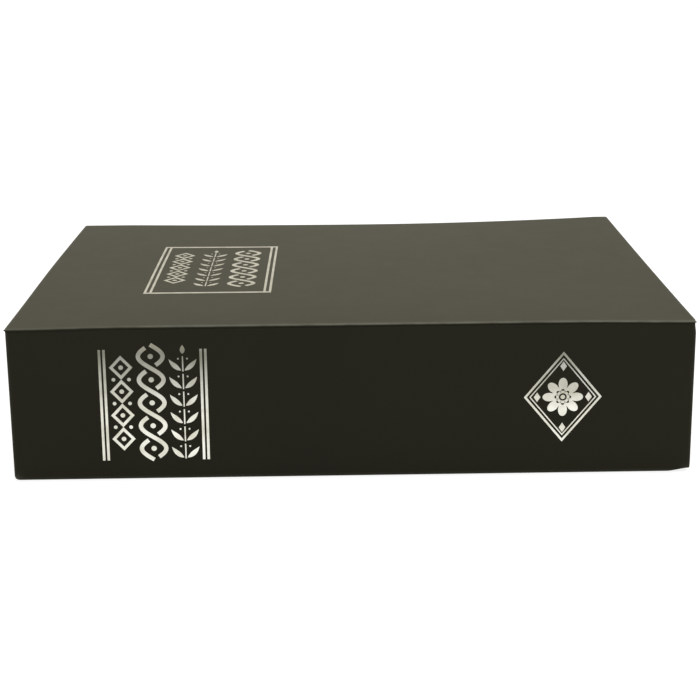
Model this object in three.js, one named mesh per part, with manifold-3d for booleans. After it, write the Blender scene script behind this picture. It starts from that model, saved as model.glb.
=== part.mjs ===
// Book diversion safe: a steel cash box hidden in the case of a thick hardback book.
// Millimetres, +Z up. The book lies on its back cover, and the origin is the middle of its underside.
// +X runs from head to tail, -Y is the spine and +Y the fore-edge.

import * as THREE from 'three';
import { mergeVertices } from 'three/addons/utils/BufferGeometryUtils.js';
import Module from 'manifold-3d';

const wasm = await Module();
wasm.setup();

// Closed book
const bookLength = 240;
const bookWidth = 155;
const bookThickness = 56;

// Case: greyboards in one covering sheet, with paper pasted down inside
const boardThickness = 2.2;
const wrapThickness = 0.3;
const pastedownThickness = 0.3;
const linerThickness = 0.3;
const turnInWidth = 15;
const wrapEdgeRadius = 0.6;
const coverCornerRadius = 1.2;
const jointGap = 1.2;
const pastedownMargin = 2.5;
const linerInset = 2;

// Moulded page edges
const squares = 3;
const pageDepth = 5;
const pageWall = 1.5;
const leafPitch = 1.1;
const leafCrest = 0.6;
const leafGrooveDepth = 0.35;
const mitreGap = 0.2;
const glueLine = 0.1;

// Steel box and the frame welded into its mouth
const sheetThickness = 1;
const insideBendRadius = 0.8;
const bendOverlap = 0.8;
const boxCornerRadius = 3;
const coverClearance = 0.3;
const flangeWidth = 7;
const joggleDepth = 10;
const ledgeWidth = 3;
const skirtDepth = 8;
const openingCornerRadius = 6;
const weldGap = 0.1;

// Lid
const lidRecess = 2;
const lidGap = 0.6;
const lidSeatGap = 0.2;
const lidHingeGap = 0.4;

// Piano hinge
const hingeLength = 200;
const knuckleCount = 11;
const knuckleGap = 0.4;
const pinRadius = 1.1;
const pinClearance = 0.1;
const knuckleWall = 0.8;
const leafThickness = 0.8;
const leafWidth = 11;
const leafClearance = 0.3;
const pinOverhang = 0.6;
const rollSeam = 0.35;
const hingeDrop = 0.8;

// Cam lock
const lockSetback = 17;
const headRadius = 10;
const headThickness = 1.8;
const headChamfer = 0.6;
const barrelRadius = 8;
const barrelAcrossFlats = 14;
const barrelClearance = 0.2;
const nutAcrossFlats = 20;
const nutThickness = 4;
const nutChamfer = 0.9;
const nutClearance = 0.1;
const springWasherThickness = 0.6;
const springWasherWidth = 2.2;
const washerSplit = 0.8;
const plugRadius = 5.2;
const plugHeadRadius = 6.4;
const plugHeadThickness = 1.3;
const plugClearance = 0.1;
const plugRecess = 0.2;
const keywayHeight = 7.6;
const keywayWidth = 1.8;
const keywayWard = 0.8;
const keywayDepth = 7;
const driveSquare = 6;
const driveClearance = 0.1;
const camThickness = 2;
const camHubRadius = 8;
const camArmWidth = 12;
const camReach = 20;
const camGap = 0.5;
const camWasherRadius = 5.5;
const camWasherThickness = 0.5;
const screwRadius = 1.9;
const screwLength = 4.5;
const screwHeadRadius = 3.6;
const screwHeadHeight = 1.6;
const screwHeadEdge = 0.7;
const screwClearance = 0.1;
const crossWidth = 0.9;
const crossSpan = 4;
const crossDepth = 0.8;

// How finely curves are cut
const cornerSteps = 6;
const edgeSteps = 3;
const bendSteps = 4;
const knuckleSides = 16;
const lockSides = 36;

// Levels of the case, from the underside up
const backBoardBottomZ = wrapThickness;
const backBoardTopZ = backBoardBottomZ + boardThickness;
const backTurnInTopZ = backBoardTopZ + wrapThickness;
const backPastedownTopZ = backTurnInTopZ + pastedownThickness;
const frontBoardTopZ = bookThickness - wrapThickness;
const frontBoardBottomZ = frontBoardTopZ - boardThickness;
const frontTurnInBottomZ = frontBoardBottomZ - wrapThickness;
const frontPastedownBottomZ = frontTurnInBottomZ - pastedownThickness;
const spineTopZ = frontBoardTopZ - linerThickness;

// Edges of the case
const coverEndX = bookLength / 2;
const foreY = bookWidth / 2;
const creaseY = -bookWidth / 2;
const boardEndX = coverEndX - wrapThickness;
const boardForeY = foreY - wrapThickness;
const spineBoardOuterY = creaseY + wrapThickness;
const spineBoardInnerY = spineBoardOuterY + boardThickness;
const spineTurnInY = spineBoardInnerY + wrapThickness;
const coverBoardSpineY = spineBoardInnerY + jointGap;
const edgeRadius = Math.min(wrapEdgeRadius, 2 * wrapThickness);
const boardCornerRadius = Math.max(coverCornerRadius - wrapThickness, 0);

// Steel box between the pastedowns
const boxBottomZ = backPastedownTopZ + glueLine;
const floorTopZ = boxBottomZ + sheetThickness;
const rimTopZ = frontPastedownBottomZ - coverClearance;
const wallTopZ = rimTopZ - sheetThickness;
const pageOuterX = coverEndX - squares;
const pageOuterY = foreY - squares;
const pageBackX = pageOuterX - pageDepth;
const pageBackY = pageOuterY - pageDepth;
const boxEndX = pageBackX - glueLine;
const boxForeY = pageBackY - glueLine;
const boxSpineY = spineTurnInY + glueLine;
const wallInnerX = boxEndX - sheetThickness;
const wallInnerForeY = boxForeY - sheetThickness;
const wallInnerSpineY = boxSpineY + sheetThickness;
const openingEndX = boxEndX - flangeWidth;
const openingForeY = boxForeY - flangeWidth;
const ledgeTopZ = rimTopZ - joggleDepth;
const ledgeBottomZ = ledgeTopZ - sheetThickness;
const frameSpineY = wallInnerSpineY + weldGap;
const outsideBendRadius = insideBendRadius + sheetThickness;
const bendReach = outsideBendRadius + bendOverlap;
const boxPlanRadius = Math.max(boxCornerRadius, bendReach + 0.1);
const openingPlanRadius = Math.max(openingCornerRadius, ledgeWidth + 0.1, bendReach + lidGap + 0.1);

// Hinge and lid
const boreRadius = pinRadius + pinClearance;
const knuckleRadius = boreRadius + knuckleWall;
const hingeY = wallInnerSpineY + leafClearance + knuckleRadius;
const lidTopZ = rimTopZ - lidRecess;
const lidUndersideZ = lidTopZ - sheetThickness;
const hingeZ = lidTopZ - hingeDrop;
const lidEndX = openingEndX - lidGap;
const lidForeY = openingForeY - lidGap;
const lidSpineY = hingeY + knuckleRadius + lidHingeGap;
const lipBottomZ = ledgeTopZ + lidSeatGap;
const lidPlanRadius = openingPlanRadius - lidGap;

// Lock, measured down from the top face of the lid
const lockY = openingForeY - lockSetback;
const camTop = ledgeBottomZ - camGap - lidTopZ;
const camBottom = camTop - camThickness;
const barrelBottom = camTop + plugClearance;
const nutTop = -sheetThickness - springWasherThickness;
const plugTop = headThickness - plugRecess;
const plugShoulder = plugTop - plugHeadThickness;

// Booleans: closed meshes in and out

function solid(geometry) {
  geometry.deleteAttribute('normal');
  geometry.deleteAttribute('uv');
  const merged = mergeVertices(geometry);
  return new wasm.Manifold(new wasm.Mesh({
    numProp: 3,
    vertProperties: new Float32Array(merged.attributes.position.array),
    triVerts: new Uint32Array(merged.index.array),
  }));
}

function geometryOf(body) {
  const result = body.getMesh();
  const geometry = new THREE.BufferGeometry();
  geometry.setAttribute('position', new THREE.BufferAttribute(result.vertProperties, 3));
  geometry.setIndex(new THREE.BufferAttribute(result.triVerts, 1));
  const flat = geometry.toNonIndexed();
  flat.computeVertexNormals();
  return flat;
}

function join(bodies) {
  return bodies.reduce((whole, body) => whole.add(body));
}

function cut(body, tools) {
  return tools.reduce((rest, tool) => rest.subtract(tool), body);
}

// Shapes that several pieces share

function slab(x0, x1, y0, y1, z0, z1) {
  const geometry = new THREE.BoxGeometry(x1 - x0, y1 - y0, z1 - z0);
  geometry.translate((x0 + x1) / 2, (y0 + y1) / 2, (z0 + z1) / 2);
  return solid(geometry);
}

// A rectangle whose two far corners, and two near ones, are rounded as asked
function roundedRectangle(x0, x1, y0, y1, farRadius, nearRadius = farRadius) {
  const corners = [
    [x1 - nearRadius, y0 + nearRadius, nearRadius],
    [x1 - farRadius, y1 - farRadius, farRadius],
    [x0 + farRadius, y1 - farRadius, farRadius],
    [x0 + nearRadius, y0 + nearRadius, nearRadius],
  ];
  const points = [];
  corners.forEach(([centreX, centreY, radius], corner) => {
    const steps = radius > 0 ? cornerSteps : 0;
    for (let step = 0; step <= steps; step++) {
      const turn = steps > 0 ? step / steps : 0;
      const angle = (corner - 1 + turn) * Math.PI / 2;
      points.push(new THREE.Vector2(centreX + radius * Math.cos(angle), centreY + radius * Math.sin(angle)));
    }
  });
  return new THREE.Shape(points);
}

// A flat sheet of the given outline, its edges rounded over top and bottom if a radius is given
function plate(shape, z0, z1, edge = 0) {
  const geometry = new THREE.ExtrudeGeometry(shape, {
    depth: z1 - z0 - 2 * edge,
    bevelEnabled: edge > 0,
    bevelThickness: edge,
    bevelSize: edge,
    bevelOffset: -edge,
    bevelSegments: edgeSteps,
  });
  geometry.translate(0, 0, z0 + edge);
  return solid(geometry);
}

function circle(radius, sides = lockSides) {
  const points = [];
  for (let side = 0; side < sides; side++) {
    const angle = 2 * Math.PI * side / sides;
    points.push(new THREE.Vector2(radius * Math.cos(angle), radius * Math.sin(angle)));
  }
  return new THREE.Shape(points);
}

function disc(radius, z0, z1, sides = lockSides) {
  return plate(circle(radius, sides), z0, z1);
}

// A turned shape about Z: radius and height from the foot of the axis to its top
function revolve(profile, sides = lockSides) {
  const outline = profile.map(([radius, z]) => new THREE.Vector2(radius, z));
  return solid(new THREE.LatheGeometry(outline, sides)).rotate([90, 0, 0]);
}

// A round bar milled flat on two sides
function doubleFlat(radius, acrossFlats, z0, z1) {
  const half = acrossFlats / 2;
  return disc(radius, z0, z1).intersect(slab(-half, half, -radius, radius, z0, z1));
}

// Case of the book

function boardSolid(z0, z1) {
  return plate(
    roundedRectangle(-boardEndX, boardEndX, coverBoardSpineY, boardForeY, boardCornerRadius, 0),
    z0,
    z1,
  );
}

function spineBoardSolid() {
  return slab(-boardEndX, boardEndX, spineBoardOuterY, spineBoardInnerY, backBoardBottomZ, spineTopZ);
}

// The covering sheet round one board, open inside the turn-ins
function coverSkin(z0, z1, board, windowZ0, windowZ1) {
  const skin = plate(
    roundedRectangle(-coverEndX, coverEndX, creaseY, foreY, coverCornerRadius, 0),
    z0,
    z1,
    edgeRadius,
  );
  const windowEndX = coverEndX - turnInWidth;
  const window = slab(-windowEndX, windowEndX, creaseY - 1, foreY - turnInWidth, windowZ0, windowZ1);
  return cut(skin, [board, window]);
}

function frontCoverWrap() {
  const board = boardSolid(frontBoardBottomZ, frontBoardTopZ);
  const skin = coverSkin(frontTurnInBottomZ, bookThickness, board, frontTurnInBottomZ - 1, frontBoardBottomZ);
  const hingeSpace = slab(
    -bookLength,
    bookLength,
    creaseY - 1,
    coverBoardSpineY,
    frontTurnInBottomZ - 1,
    frontBoardTopZ,
  );
  return geometryOf(skin.subtract(hingeSpace));
}

function spineAndBackWrap() {
  const backBoard = boardSolid(backBoardBottomZ, backBoardTopZ);
  const foldSpace = slab(
    -boardEndX,
    boardEndX,
    spineBoardInnerY,
    coverBoardSpineY,
    backBoardBottomZ,
    backTurnInTopZ + 1,
  );
  const back = coverSkin(0, backTurnInTopZ, backBoard, backBoardTopZ, backTurnInTopZ + 1);
  const spine = plate(
    roundedRectangle(-coverEndX, coverEndX, creaseY, spineTurnInY, 0, edgeRadius),
    edgeRadius,
    spineTopZ,
  );
  const spineWindowX = coverEndX - turnInWidth;
  const spineWindow = slab(
    -spineWindowX,
    spineWindowX,
    spineBoardInnerY,
    spineTurnInY + 1,
    backTurnInTopZ,
    spineTopZ + 1,
  );
  const board = slab(
    -boardEndX,
    boardEndX,
    spineBoardOuterY,
    spineBoardInnerY,
    backBoardBottomZ,
    spineTopZ + 1,
  );
  return geometryOf(cut(join([spine, back]), [board, foldSpace, spineWindow]));
}

// Endpaper pasted over the turn-ins and down onto the board between them
function pastedown(sheetZ0, sheetZ1, fillZ0, fillZ1) {
  const endX = coverEndX - pastedownMargin;
  const windowEndX = coverEndX - turnInWidth;
  const sheet = slab(-endX, endX, coverBoardSpineY, foreY - pastedownMargin, sheetZ0, sheetZ1);
  const fill = slab(-windowEndX, windowEndX, coverBoardSpineY, foreY - turnInWidth, fillZ0, fillZ1);
  return geometryOf(join([sheet, fill]));
}

// Cloth strip inside the front hinge: under the covering sheet, then down the edge of the board
function hingeLiner() {
  const endX = coverEndX - linerInset;
  const outerY = spineBoardOuterY + wrapThickness;
  const across = slab(-endX, endX, outerY, coverBoardSpineY, spineTopZ, frontBoardTopZ);
  const down = slab(
    -endX,
    endX,
    coverBoardSpineY - linerThickness,
    coverBoardSpineY,
    frontTurnInBottomZ,
    frontBoardTopZ,
  );
  return geometryOf(join([across, down]));
}

// Page edges: a ribbed channel whose open back is glued to the box

function pageProfile() {
  const bottomZ = backPastedownTopZ + glueLine;
  const points = [[0, bottomZ], [pageDepth, bottomZ]];
  const ribbedHeight = rimTopZ - bottomZ - 2 * pageWall;
  const ribs = Math.max(Math.floor(ribbedHeight / leafPitch), 1);
  const firstZ = bottomZ + pageWall + (ribbedHeight - ribs * leafPitch) / 2;
  const crest = Math.min(leafCrest, leafPitch * 0.8);
  for (let rib = 0; rib < ribs; rib++) {
    const z = firstZ + rib * leafPitch;
    points.push([pageDepth, z]);
    points.push([pageDepth - leafGrooveDepth, z + (leafPitch - crest) / 2]);
    points.push([pageDepth, z + leafPitch - crest]);
  }
  points.push([pageDepth, rimTopZ], [0, rimTopZ], [0, rimTopZ - pageWall]);
  points.push([pageDepth - pageWall, rimTopZ - pageWall], [pageDepth - pageWall, bottomZ + pageWall]);
  points.push([0, bottomZ + pageWall]);
  return new THREE.Shape(points.map(([out, z]) => new THREE.Vector2(out, z)));
}

// Drawn outwards and up, run along the third axis; a mitred end slopes back towards the box
function pageStrip(length, startMitred, endMitred) {
  const geometry = new THREE.ExtrudeGeometry(pageProfile(), { depth: length, bevelEnabled: false });
  const position = geometry.attributes.position;
  for (let index = 0; index < position.count; index++) {
    const slope = pageDepth - position.getX(index) + mitreGap;
    const atStart = position.getZ(index) < length / 2;
    if (atStart && startMitred) position.setZ(index, slope);
    if (!atStart && endMitred) position.setZ(index, length - slope);
  }
  geometry.computeVertexNormals();
  return geometry;
}

// Folded sheet: a section of the sheet run round a rounded outline

// Stations are points of the outline with their outward directions. An open run has no near side.
function stations(x0, x1, y0, y1, radius, open) {
  const centres = [
    [x1 - radius, y1 - radius],
    [x0 + radius, y1 - radius],
    [x0 + radius, y0 + radius],
    [x1 - radius, y0 + radius],
  ];
  const run = open ? [{ x: x1, y: y0, outX: 1, outY: 0 }] : [];
  centres.slice(0, open ? 2 : 4).forEach(([centreX, centreY], corner) => {
    for (let step = 0; step <= cornerSteps; step++) {
      const angle = (corner + step / cornerSteps) * Math.PI / 2;
      const outX = Math.cos(angle);
      const outY = Math.sin(angle);
      run.push({ x: centreX + radius * outX, y: centreY + radius * outY, outX, outY });
    }
  });
  if (open) run.push({ x: x0, y: y0, outX: -1, outY: 0 });
  return run;
}

// Each section point is a distance outwards from the outline and a height, listed anticlockwise
function sweep(run, section, open) {
  const size = section.length;
  const positions = [];
  run.forEach(({ x, y, outX, outY }) => {
    section.forEach(([out, z]) => positions.push(x + out * outX, y + out * outY, z));
  });
  const indices = [];
  const spans = open ? run.length - 1 : run.length;
  for (let span = 0; span < spans; span++) {
    const here = span * size;
    const next = ((span + 1) % run.length) * size;
    for (let side = 0; side < size; side++) {
      const after = (side + 1) % size;
      indices.push(here + side, next + side, next + after);
      indices.push(here + side, next + after, here + after);
    }
  }
  if (open) {
    const last = (run.length - 1) * size;
    const contour = section.map(([out, z]) => new THREE.Vector2(out, z));
    THREE.ShapeUtils.triangulateShape(contour, []).forEach(([first, second, third]) => {
      indices.push(first, second, third);
      indices.push(last + third, last + second, last + first);
    });
  }
  const geometry = new THREE.BufferGeometry();
  geometry.setAttribute('position', new THREE.Float32BufferAttribute(positions, 3));
  geometry.setIndex(indices);
  return solid(geometry);
}

// Points along a bend in a section, its angles counted in quarter turns
function bend(centreOut, centreZ, radius, from, to) {
  const points = [];
  for (let step = 0; step <= bendSteps; step++) {
    const angle = (from + (to - from) * step / bendSteps) * Math.PI / 2;
    points.push([centreOut + radius * Math.cos(angle), centreZ + radius * Math.sin(angle)]);
  }
  return points;
}

// Steel box

// Tray: the floor bends up into four walls, and the wall at the spine stands up to the rim
function boxTray() {
  const bendZ = boxBottomZ + outsideBendRadius;
  const section = [
    [-bendReach, boxBottomZ],
    ...bend(-outsideBendRadius, bendZ, outsideBendRadius, -1, 0),
    [0, wallTopZ],
    [-sheetThickness, wallTopZ],
    ...bend(-outsideBendRadius, bendZ, insideBendRadius, 0, -1),
    [-bendReach, floorTopZ],
  ];
  const walls = sweep(stations(-boxEndX, boxEndX, boxSpineY, boxForeY, boxPlanRadius, false), section, false);
  const floor = plate(
    roundedRectangle(
      -boxEndX + outsideBendRadius,
      boxEndX - outsideBendRadius,
      boxSpineY + outsideBendRadius,
      boxForeY - outsideBendRadius,
      boxPlanRadius - outsideBendRadius,
    ),
    boxBottomZ,
    floorTopZ,
  );
  const spineWallX = boxEndX - boxPlanRadius;
  const spineWallTop = slab(-spineWallX, spineWallX, boxSpineY, wallInnerSpineY, wallTopZ - 1, rimTopZ);
  return geometryOf(join([walls, floor, spineWallTop]));
}

// Frame: its flange lies on the walls, steps down round the lid and turns in as the ledge
function rimFrame() {
  const lowerBendZ = ledgeTopZ + insideBendRadius;
  const upperBendZ = wallTopZ - insideBendRadius;
  const section = [
    [-ledgeWidth, ledgeBottomZ],
    ...bend(-insideBendRadius, lowerBendZ, outsideBendRadius, -1, 0),
    ...bend(outsideBendRadius, upperBendZ, insideBendRadius, 2, 1),
    [bendReach, wallTopZ],
    [bendReach, rimTopZ],
    ...bend(outsideBendRadius, upperBendZ, outsideBendRadius, 1, 2),
    ...bend(-insideBendRadius, lowerBendZ, insideBendRadius, 0, -1),
    [-ledgeWidth, ledgeTopZ],
  ];
  const joggle = sweep(
    stations(-openingEndX, openingEndX, frameSpineY, openingForeY, openingPlanRadius, true),
    section,
    true,
  );
  const outline = (inset, z0, z1, spineY) => plate(
    roundedRectangle(
      -boxEndX + inset,
      boxEndX - inset,
      spineY,
      boxForeY - inset,
      Math.max(boxPlanRadius - inset, 0.2),
      0,
    ),
    z0,
    z1,
  );
  const opening = plate(
    roundedRectangle(
      -openingEndX - outsideBendRadius,
      openingEndX + outsideBendRadius,
      boxSpineY,
      openingForeY + outsideBendRadius,
      openingPlanRadius + outsideBendRadius,
      0,
    ),
    wallTopZ - 1,
    rimTopZ + 1,
  );
  const flange = cut(outline(0, wallTopZ, rimTopZ, frameSpineY), [opening]);
  const skirtOuter = sheetThickness + weldGap;
  const skirtBottomZ = wallTopZ - skirtDepth;
  const skirtSpineY = wallInnerSpineY + boxPlanRadius;
  const skirt = cut(outline(skirtOuter, skirtBottomZ, rimTopZ - sheetThickness / 2, skirtSpineY), [
    outline(skirtOuter + sheetThickness, skirtBottomZ - 1, rimTopZ, skirtSpineY - 1),
  ]);
  return geometryOf(join([joggle, flange, skirt]));
}

// Piano hinge, about its own pin axis along X

function knuckle(index) {
  const pitch = (hingeLength + knuckleGap) / knuckleCount;
  const start = -hingeLength / 2 + index * pitch;
  const ring = cut(disc(knuckleRadius, 0, pitch - knuckleGap, knuckleSides), [
    disc(boreRadius, -1, pitch + 1, knuckleSides),
  ]);
  return { ring: ring.rotate([0, 90, 0]).translate([start, 0, 0]), start, end: start + pitch - knuckleGap };
}

function bore() {
  const end = hingeLength / 2 + 1;
  return disc(boreRadius, -end, end, knuckleSides).rotate([0, 90, 0]);
}

// One leaf: its plate, and at every second knuckle a tab rolled round the pin as far as its seam
function hingeLeaf(firstKnuckle, leafPlate, tab, seam) {
  const parts = [leafPlate];
  for (let index = firstKnuckle; index < knuckleCount; index += 2) {
    const { ring, start, end } = knuckle(index);
    parts.push(ring, tab(start, end));
  }
  return geometryOf(cut(join(parts), [bore(), seam]));
}

function boxHingeLeaf() {
  const endX = hingeLength / 2;
  const backY = wallInnerSpineY - hingeY;
  const frontY = backY + leafThickness;
  const plateTop = -knuckleRadius - leafClearance;
  const leafPlate = slab(-endX, endX, backY, frontY, -leafWidth, plateTop);
  const tab = (start, end) => slab(start, end, backY, frontY, plateTop - 1, 0);
  const seam = slab(-endX - 1, endX + 1, frontY, frontY + rollSeam, -knuckleRadius - 1, -boreRadius / 4);
  return hingeLeaf(0, leafPlate, tab, seam);
}

function lidHingeLeaf() {
  const endX = hingeLength / 2;
  const topZ = lidUndersideZ - hingeZ;
  const bottomZ = topZ - leafThickness;
  const nearY = knuckleRadius + leafClearance;
  const leafPlate = slab(-endX, endX, nearY, leafWidth, bottomZ, topZ);
  const tab = (start, end) => slab(start, end, (boreRadius + knuckleRadius) / 2, nearY + 1, bottomZ, topZ);
  const seam = slab(-endX - 1, endX + 1, boreRadius / 2, nearY, topZ, topZ + rollSeam);
  return hingeLeaf(1, leafPlate, tab, seam);
}

function hingePin() {
  const end = hingeLength / 2 + pinOverhang;
  const dome = pinOverhang / 2;
  const pin = revolve([
    [0, -end],
    [pinRadius - dome, -end],
    [pinRadius, -end + dome],
    [pinRadius, end - dome],
    [pinRadius - dome, end],
    [0, end],
  ], knuckleSides);
  return geometryOf(pin.rotate([0, 90, 0]));
}

// Lid: a shallow pan turned over, its lips on the ledge of the frame

function lidPanel() {
  const bendZ = lidTopZ - outsideBendRadius;
  const section = [
    [-sheetThickness, lipBottomZ],
    [0, lipBottomZ],
    ...bend(-outsideBendRadius, bendZ, outsideBendRadius, 0, 1),
    [-bendReach, lidTopZ],
    [-bendReach, lidUndersideZ],
    ...bend(-outsideBendRadius, bendZ, insideBendRadius, 1, 0),
  ];
  const lips = sweep(stations(-lidEndX, lidEndX, lidSpineY, lidForeY, lidPlanRadius, true), section, true);
  const flat = plate(
    roundedRectangle(
      -lidEndX + outsideBendRadius,
      lidEndX - outsideBendRadius,
      lidSpineY,
      lidForeY - outsideBendRadius,
      lidPlanRadius - outsideBendRadius,
      0,
    ),
    lidUndersideZ,
    lidTopZ,
  );
  const lockHole = doubleFlat(
    barrelRadius + barrelClearance,
    barrelAcrossFlats + 2 * barrelClearance,
    lipBottomZ,
    lidTopZ + 1,
  ).translate([0, lockY, 0]);
  return geometryOf(cut(join([lips, flat]), [lockHole]));
}

// Cam lock, about its own axis with zero on the top face of the lid

function lockHousing() {
  const head = revolve([
    [0, 0],
    [headRadius, 0],
    [headRadius, headThickness - headChamfer],
    [headRadius - headChamfer, headThickness],
    [0, headThickness],
  ]);
  const barrel = doubleFlat(barrelRadius, barrelAcrossFlats, barrelBottom, headThickness / 2);
  const plugBore = disc(plugRadius + plugClearance, barrelBottom - 1, headThickness + 1);
  const counterbore = disc(plugHeadRadius + plugClearance, plugShoulder - plugClearance, headThickness + 1);
  return geometryOf(cut(join([head, barrel]), [plugBore, counterbore]));
}

// Hexagon nut, its corners chamfered on both faces
function lockNut() {
  const cornerRadius = nutAcrossFlats / Math.sqrt(3);
  const faceRadius = nutAcrossFlats / 2;
  const nutBottom = nutTop - nutThickness;
  const turned = revolve([
    [0, nutBottom],
    [faceRadius, nutBottom],
    [cornerRadius, nutBottom + nutChamfer],
    [cornerRadius, nutTop - nutChamfer],
    [faceRadius, nutTop],
    [0, nutTop],
  ]);
  const hexagon = plate(circle(cornerRadius, 6), nutBottom, nutTop);
  const hole = disc(barrelRadius + nutClearance, nutBottom - 1, nutTop + 1);
  return geometryOf(hexagon.intersect(turned).subtract(hole));
}

// Spring washer with its split
function springWasher() {
  const innerRadius = barrelRadius + nutClearance;
  const outerRadius = innerRadius + springWasherWidth;
  const ring = cut(disc(outerRadius, nutTop, nutTop + springWasherThickness), [
    disc(innerRadius, nutTop - 1, nutTop + springWasherThickness + 1),
    slab(innerRadius - 1, outerRadius + 1, -washerSplit / 2, washerSplit / 2, nutTop - 1, nutTop + 1),
  ]);
  return geometryOf(ring);
}

// Keyway section: a slot with a ward stepping in from one side
function keyway() {
  const half = keywayHeight / 2;
  const side = keywayWidth / 2;
  const points = [
    [-side, -half],
    [side, -half],
    [side, -half / 3],
    [side - keywayWard, -half / 3],
    [side - keywayWard, half / 3],
    [side, half / 3],
    [side, half],
    [-side, half],
  ];
  const shape = new THREE.Shape(points.map(([x, y]) => new THREE.Vector2(x, y)));
  return plate(shape, plugTop - keywayDepth, plugTop + 1);
}

function lockPlug() {
  const body = disc(plugRadius, barrelBottom, plugTop);
  const head = disc(plugHeadRadius, plugShoulder, plugTop);
  const half = driveSquare / 2;
  const drive = slab(-half, half, -half, half, camBottom, barrelBottom + 1);
  const screwHole = disc(screwRadius + screwClearance, camBottom - 1, camBottom + screwLength + 1);
  return geometryOf(cut(join([body, head, drive]), [keyway(), screwHole]));
}

// Cam: a stamped arm with a round hub, a straight arm and a square hole
function lockCam() {
  const halfArm = camArmWidth / 2;
  const hub = disc(camHubRadius, camBottom, camTop);
  const arm = plate(roundedRectangle(0, camReach, -halfArm, halfArm, 1.5), camBottom, camTop);
  const half = driveSquare / 2 + driveClearance;
  const hole = slab(-half, half, -half, half, camBottom - 1, camTop + 1);
  return geometryOf(join([hub, arm]).subtract(hole));
}

function camWasher() {
  const top = camBottom;
  const bottom = top - camWasherThickness;
  const hole = disc(screwRadius + screwClearance, bottom - 1, top + 1);
  return geometryOf(disc(camWasherRadius, bottom, top).subtract(hole));
}

// Screw with a cross recess in its head
function camScrew() {
  const headTop = camBottom - camWasherThickness;
  const headBottom = headTop - screwHeadHeight;
  const shank = disc(screwRadius, headTop - screwHeadHeight / 2, camBottom + screwLength);
  const head = revolve([
    [0, headBottom],
    [screwHeadRadius - screwHeadEdge, headBottom],
    [screwHeadRadius, headBottom + screwHeadEdge],
    [screwHeadRadius, headTop],
    [0, headTop],
  ]);
  const slot = (acrossX, acrossY) => slab(
    -acrossX / 2,
    acrossX / 2,
    -acrossY / 2,
    acrossY / 2,
    headBottom - 1,
    headBottom + crossDepth,
  );
  return geometryOf(cut(join([shank, head]), [slot(crossSpan, crossWidth), slot(crossWidth, crossSpan)]));
}

// Finishes

const finishes = {
  leatherette: { color: 0x2b2b26, roughness: 0.5, metalness: 0 },
  greyboard: { color: 0x9a9184, roughness: 0.95, metalness: 0 },
  endpaper: { color: 0x1d1c1a, roughness: 0.8, metalness: 0 },
  cloth: { color: 0x191817, roughness: 0.9, metalness: 0 },
  page: { color: 0xe6dcc2, roughness: 0.75, metalness: 0 },
  blackSteel: { color: 0x1c1d1f, roughness: 0.5, metalness: 0.3 },
  hingeSteel: { color: 0xb9bcc0, roughness: 0.35, metalness: 0.9 },
  chrome: { color: 0xd7d9dc, roughness: 0.15, metalness: 1 },
  brass: { color: 0xc2a35a, roughness: 0.3, metalness: 0.9 },
};

function piece(name, geometry, finish) {
  const mesh = new THREE.Mesh(geometry, new THREE.MeshStandardMaterial(finishes[finish]));
  mesh.name = name;
  return mesh;
}

function group(position, children) {
  const result = new THREE.Group();
  result.position.set(...position);
  result.add(...children);
  return result;
}

// Stands a strip up: its section faces the given way and is upright
function placed(strip, outward, position) {
  const up = new THREE.Vector3(0, 0, 1);
  const along = new THREE.Vector3().crossVectors(outward, up);
  strip.setRotationFromMatrix(new THREE.Matrix4().makeBasis(outward, up, along));
  strip.position.set(...position);
  return strip;
}

const frontCover = group([0, 0, 0], [
  piece('front_cover_board', geometryOf(boardSolid(frontBoardBottomZ, frontBoardTopZ)), 'greyboard'),
  piece('front_cover_wrap', frontCoverWrap(), 'leatherette'),
  piece(
    'front_pastedown',
    pastedown(frontPastedownBottomZ, frontTurnInBottomZ, frontTurnInBottomZ, frontBoardBottomZ),
    'endpaper',
  ),
  piece('hinge_liner', hingeLiner(), 'cloth'),
]);

const sideStripLength = pageOuterY - boxSpineY;
const pageEdges = group([0, 0, 0], [
  placed(
    piece('page_edge_head', pageStrip(sideStripLength, false, true), 'page'),
    new THREE.Vector3(-1, 0, 0),
    [-pageBackX, boxSpineY, 0],
  ),
  placed(
    piece('page_edge_tail', pageStrip(sideStripLength, true, false), 'page'),
    new THREE.Vector3(1, 0, 0),
    [pageBackX, pageOuterY, 0],
  ),
  placed(
    piece('page_edge_fore', pageStrip(2 * pageOuterX, true, true), 'page'),
    new THREE.Vector3(0, 1, 0),
    [-pageOuterX, pageBackY, 0],
  ),
]);

const bookCase = group([0, 0, 0], [
  piece('back_cover_board', geometryOf(boardSolid(backBoardBottomZ, backBoardTopZ)), 'greyboard'),
  piece('spine_board', geometryOf(spineBoardSolid()), 'greyboard'),
  piece('spine_and_back_wrap', spineAndBackWrap(), 'leatherette'),
  piece('back_pastedown', pastedown(backTurnInTopZ, backPastedownTopZ, backBoardTopZ, backTurnInTopZ), 'endpaper'),
  pageEdges,
]);

const steelBox = group([0, 0, 0], [
  piece('safe_box', boxTray(), 'blackSteel'),
  piece('rim_frame', rimFrame(), 'blackSteel'),
]);

const hinge = group([0, hingeY, hingeZ], [
  piece('box_hinge_leaf', boxHingeLeaf(), 'hingeSteel'),
  piece('lid_hinge_leaf', lidHingeLeaf(), 'hingeSteel'),
  piece('hinge_pin', hingePin(), 'hingeSteel'),
]);

const lock = group([0, lockY, lidTopZ], [
  piece('lock_housing', lockHousing(), 'chrome'),
  piece('lock_spring_washer', springWasher(), 'hingeSteel'),
  piece('lock_nut', lockNut(), 'hingeSteel'),
  piece('lock_plug', lockPlug(), 'brass'),
  piece('lock_cam', lockCam(), 'hingeSteel'),
  piece('cam_washer', camWasher(), 'hingeSteel'),
  piece('cam_screw', camScrew(), 'hingeSteel'),
]);

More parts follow.
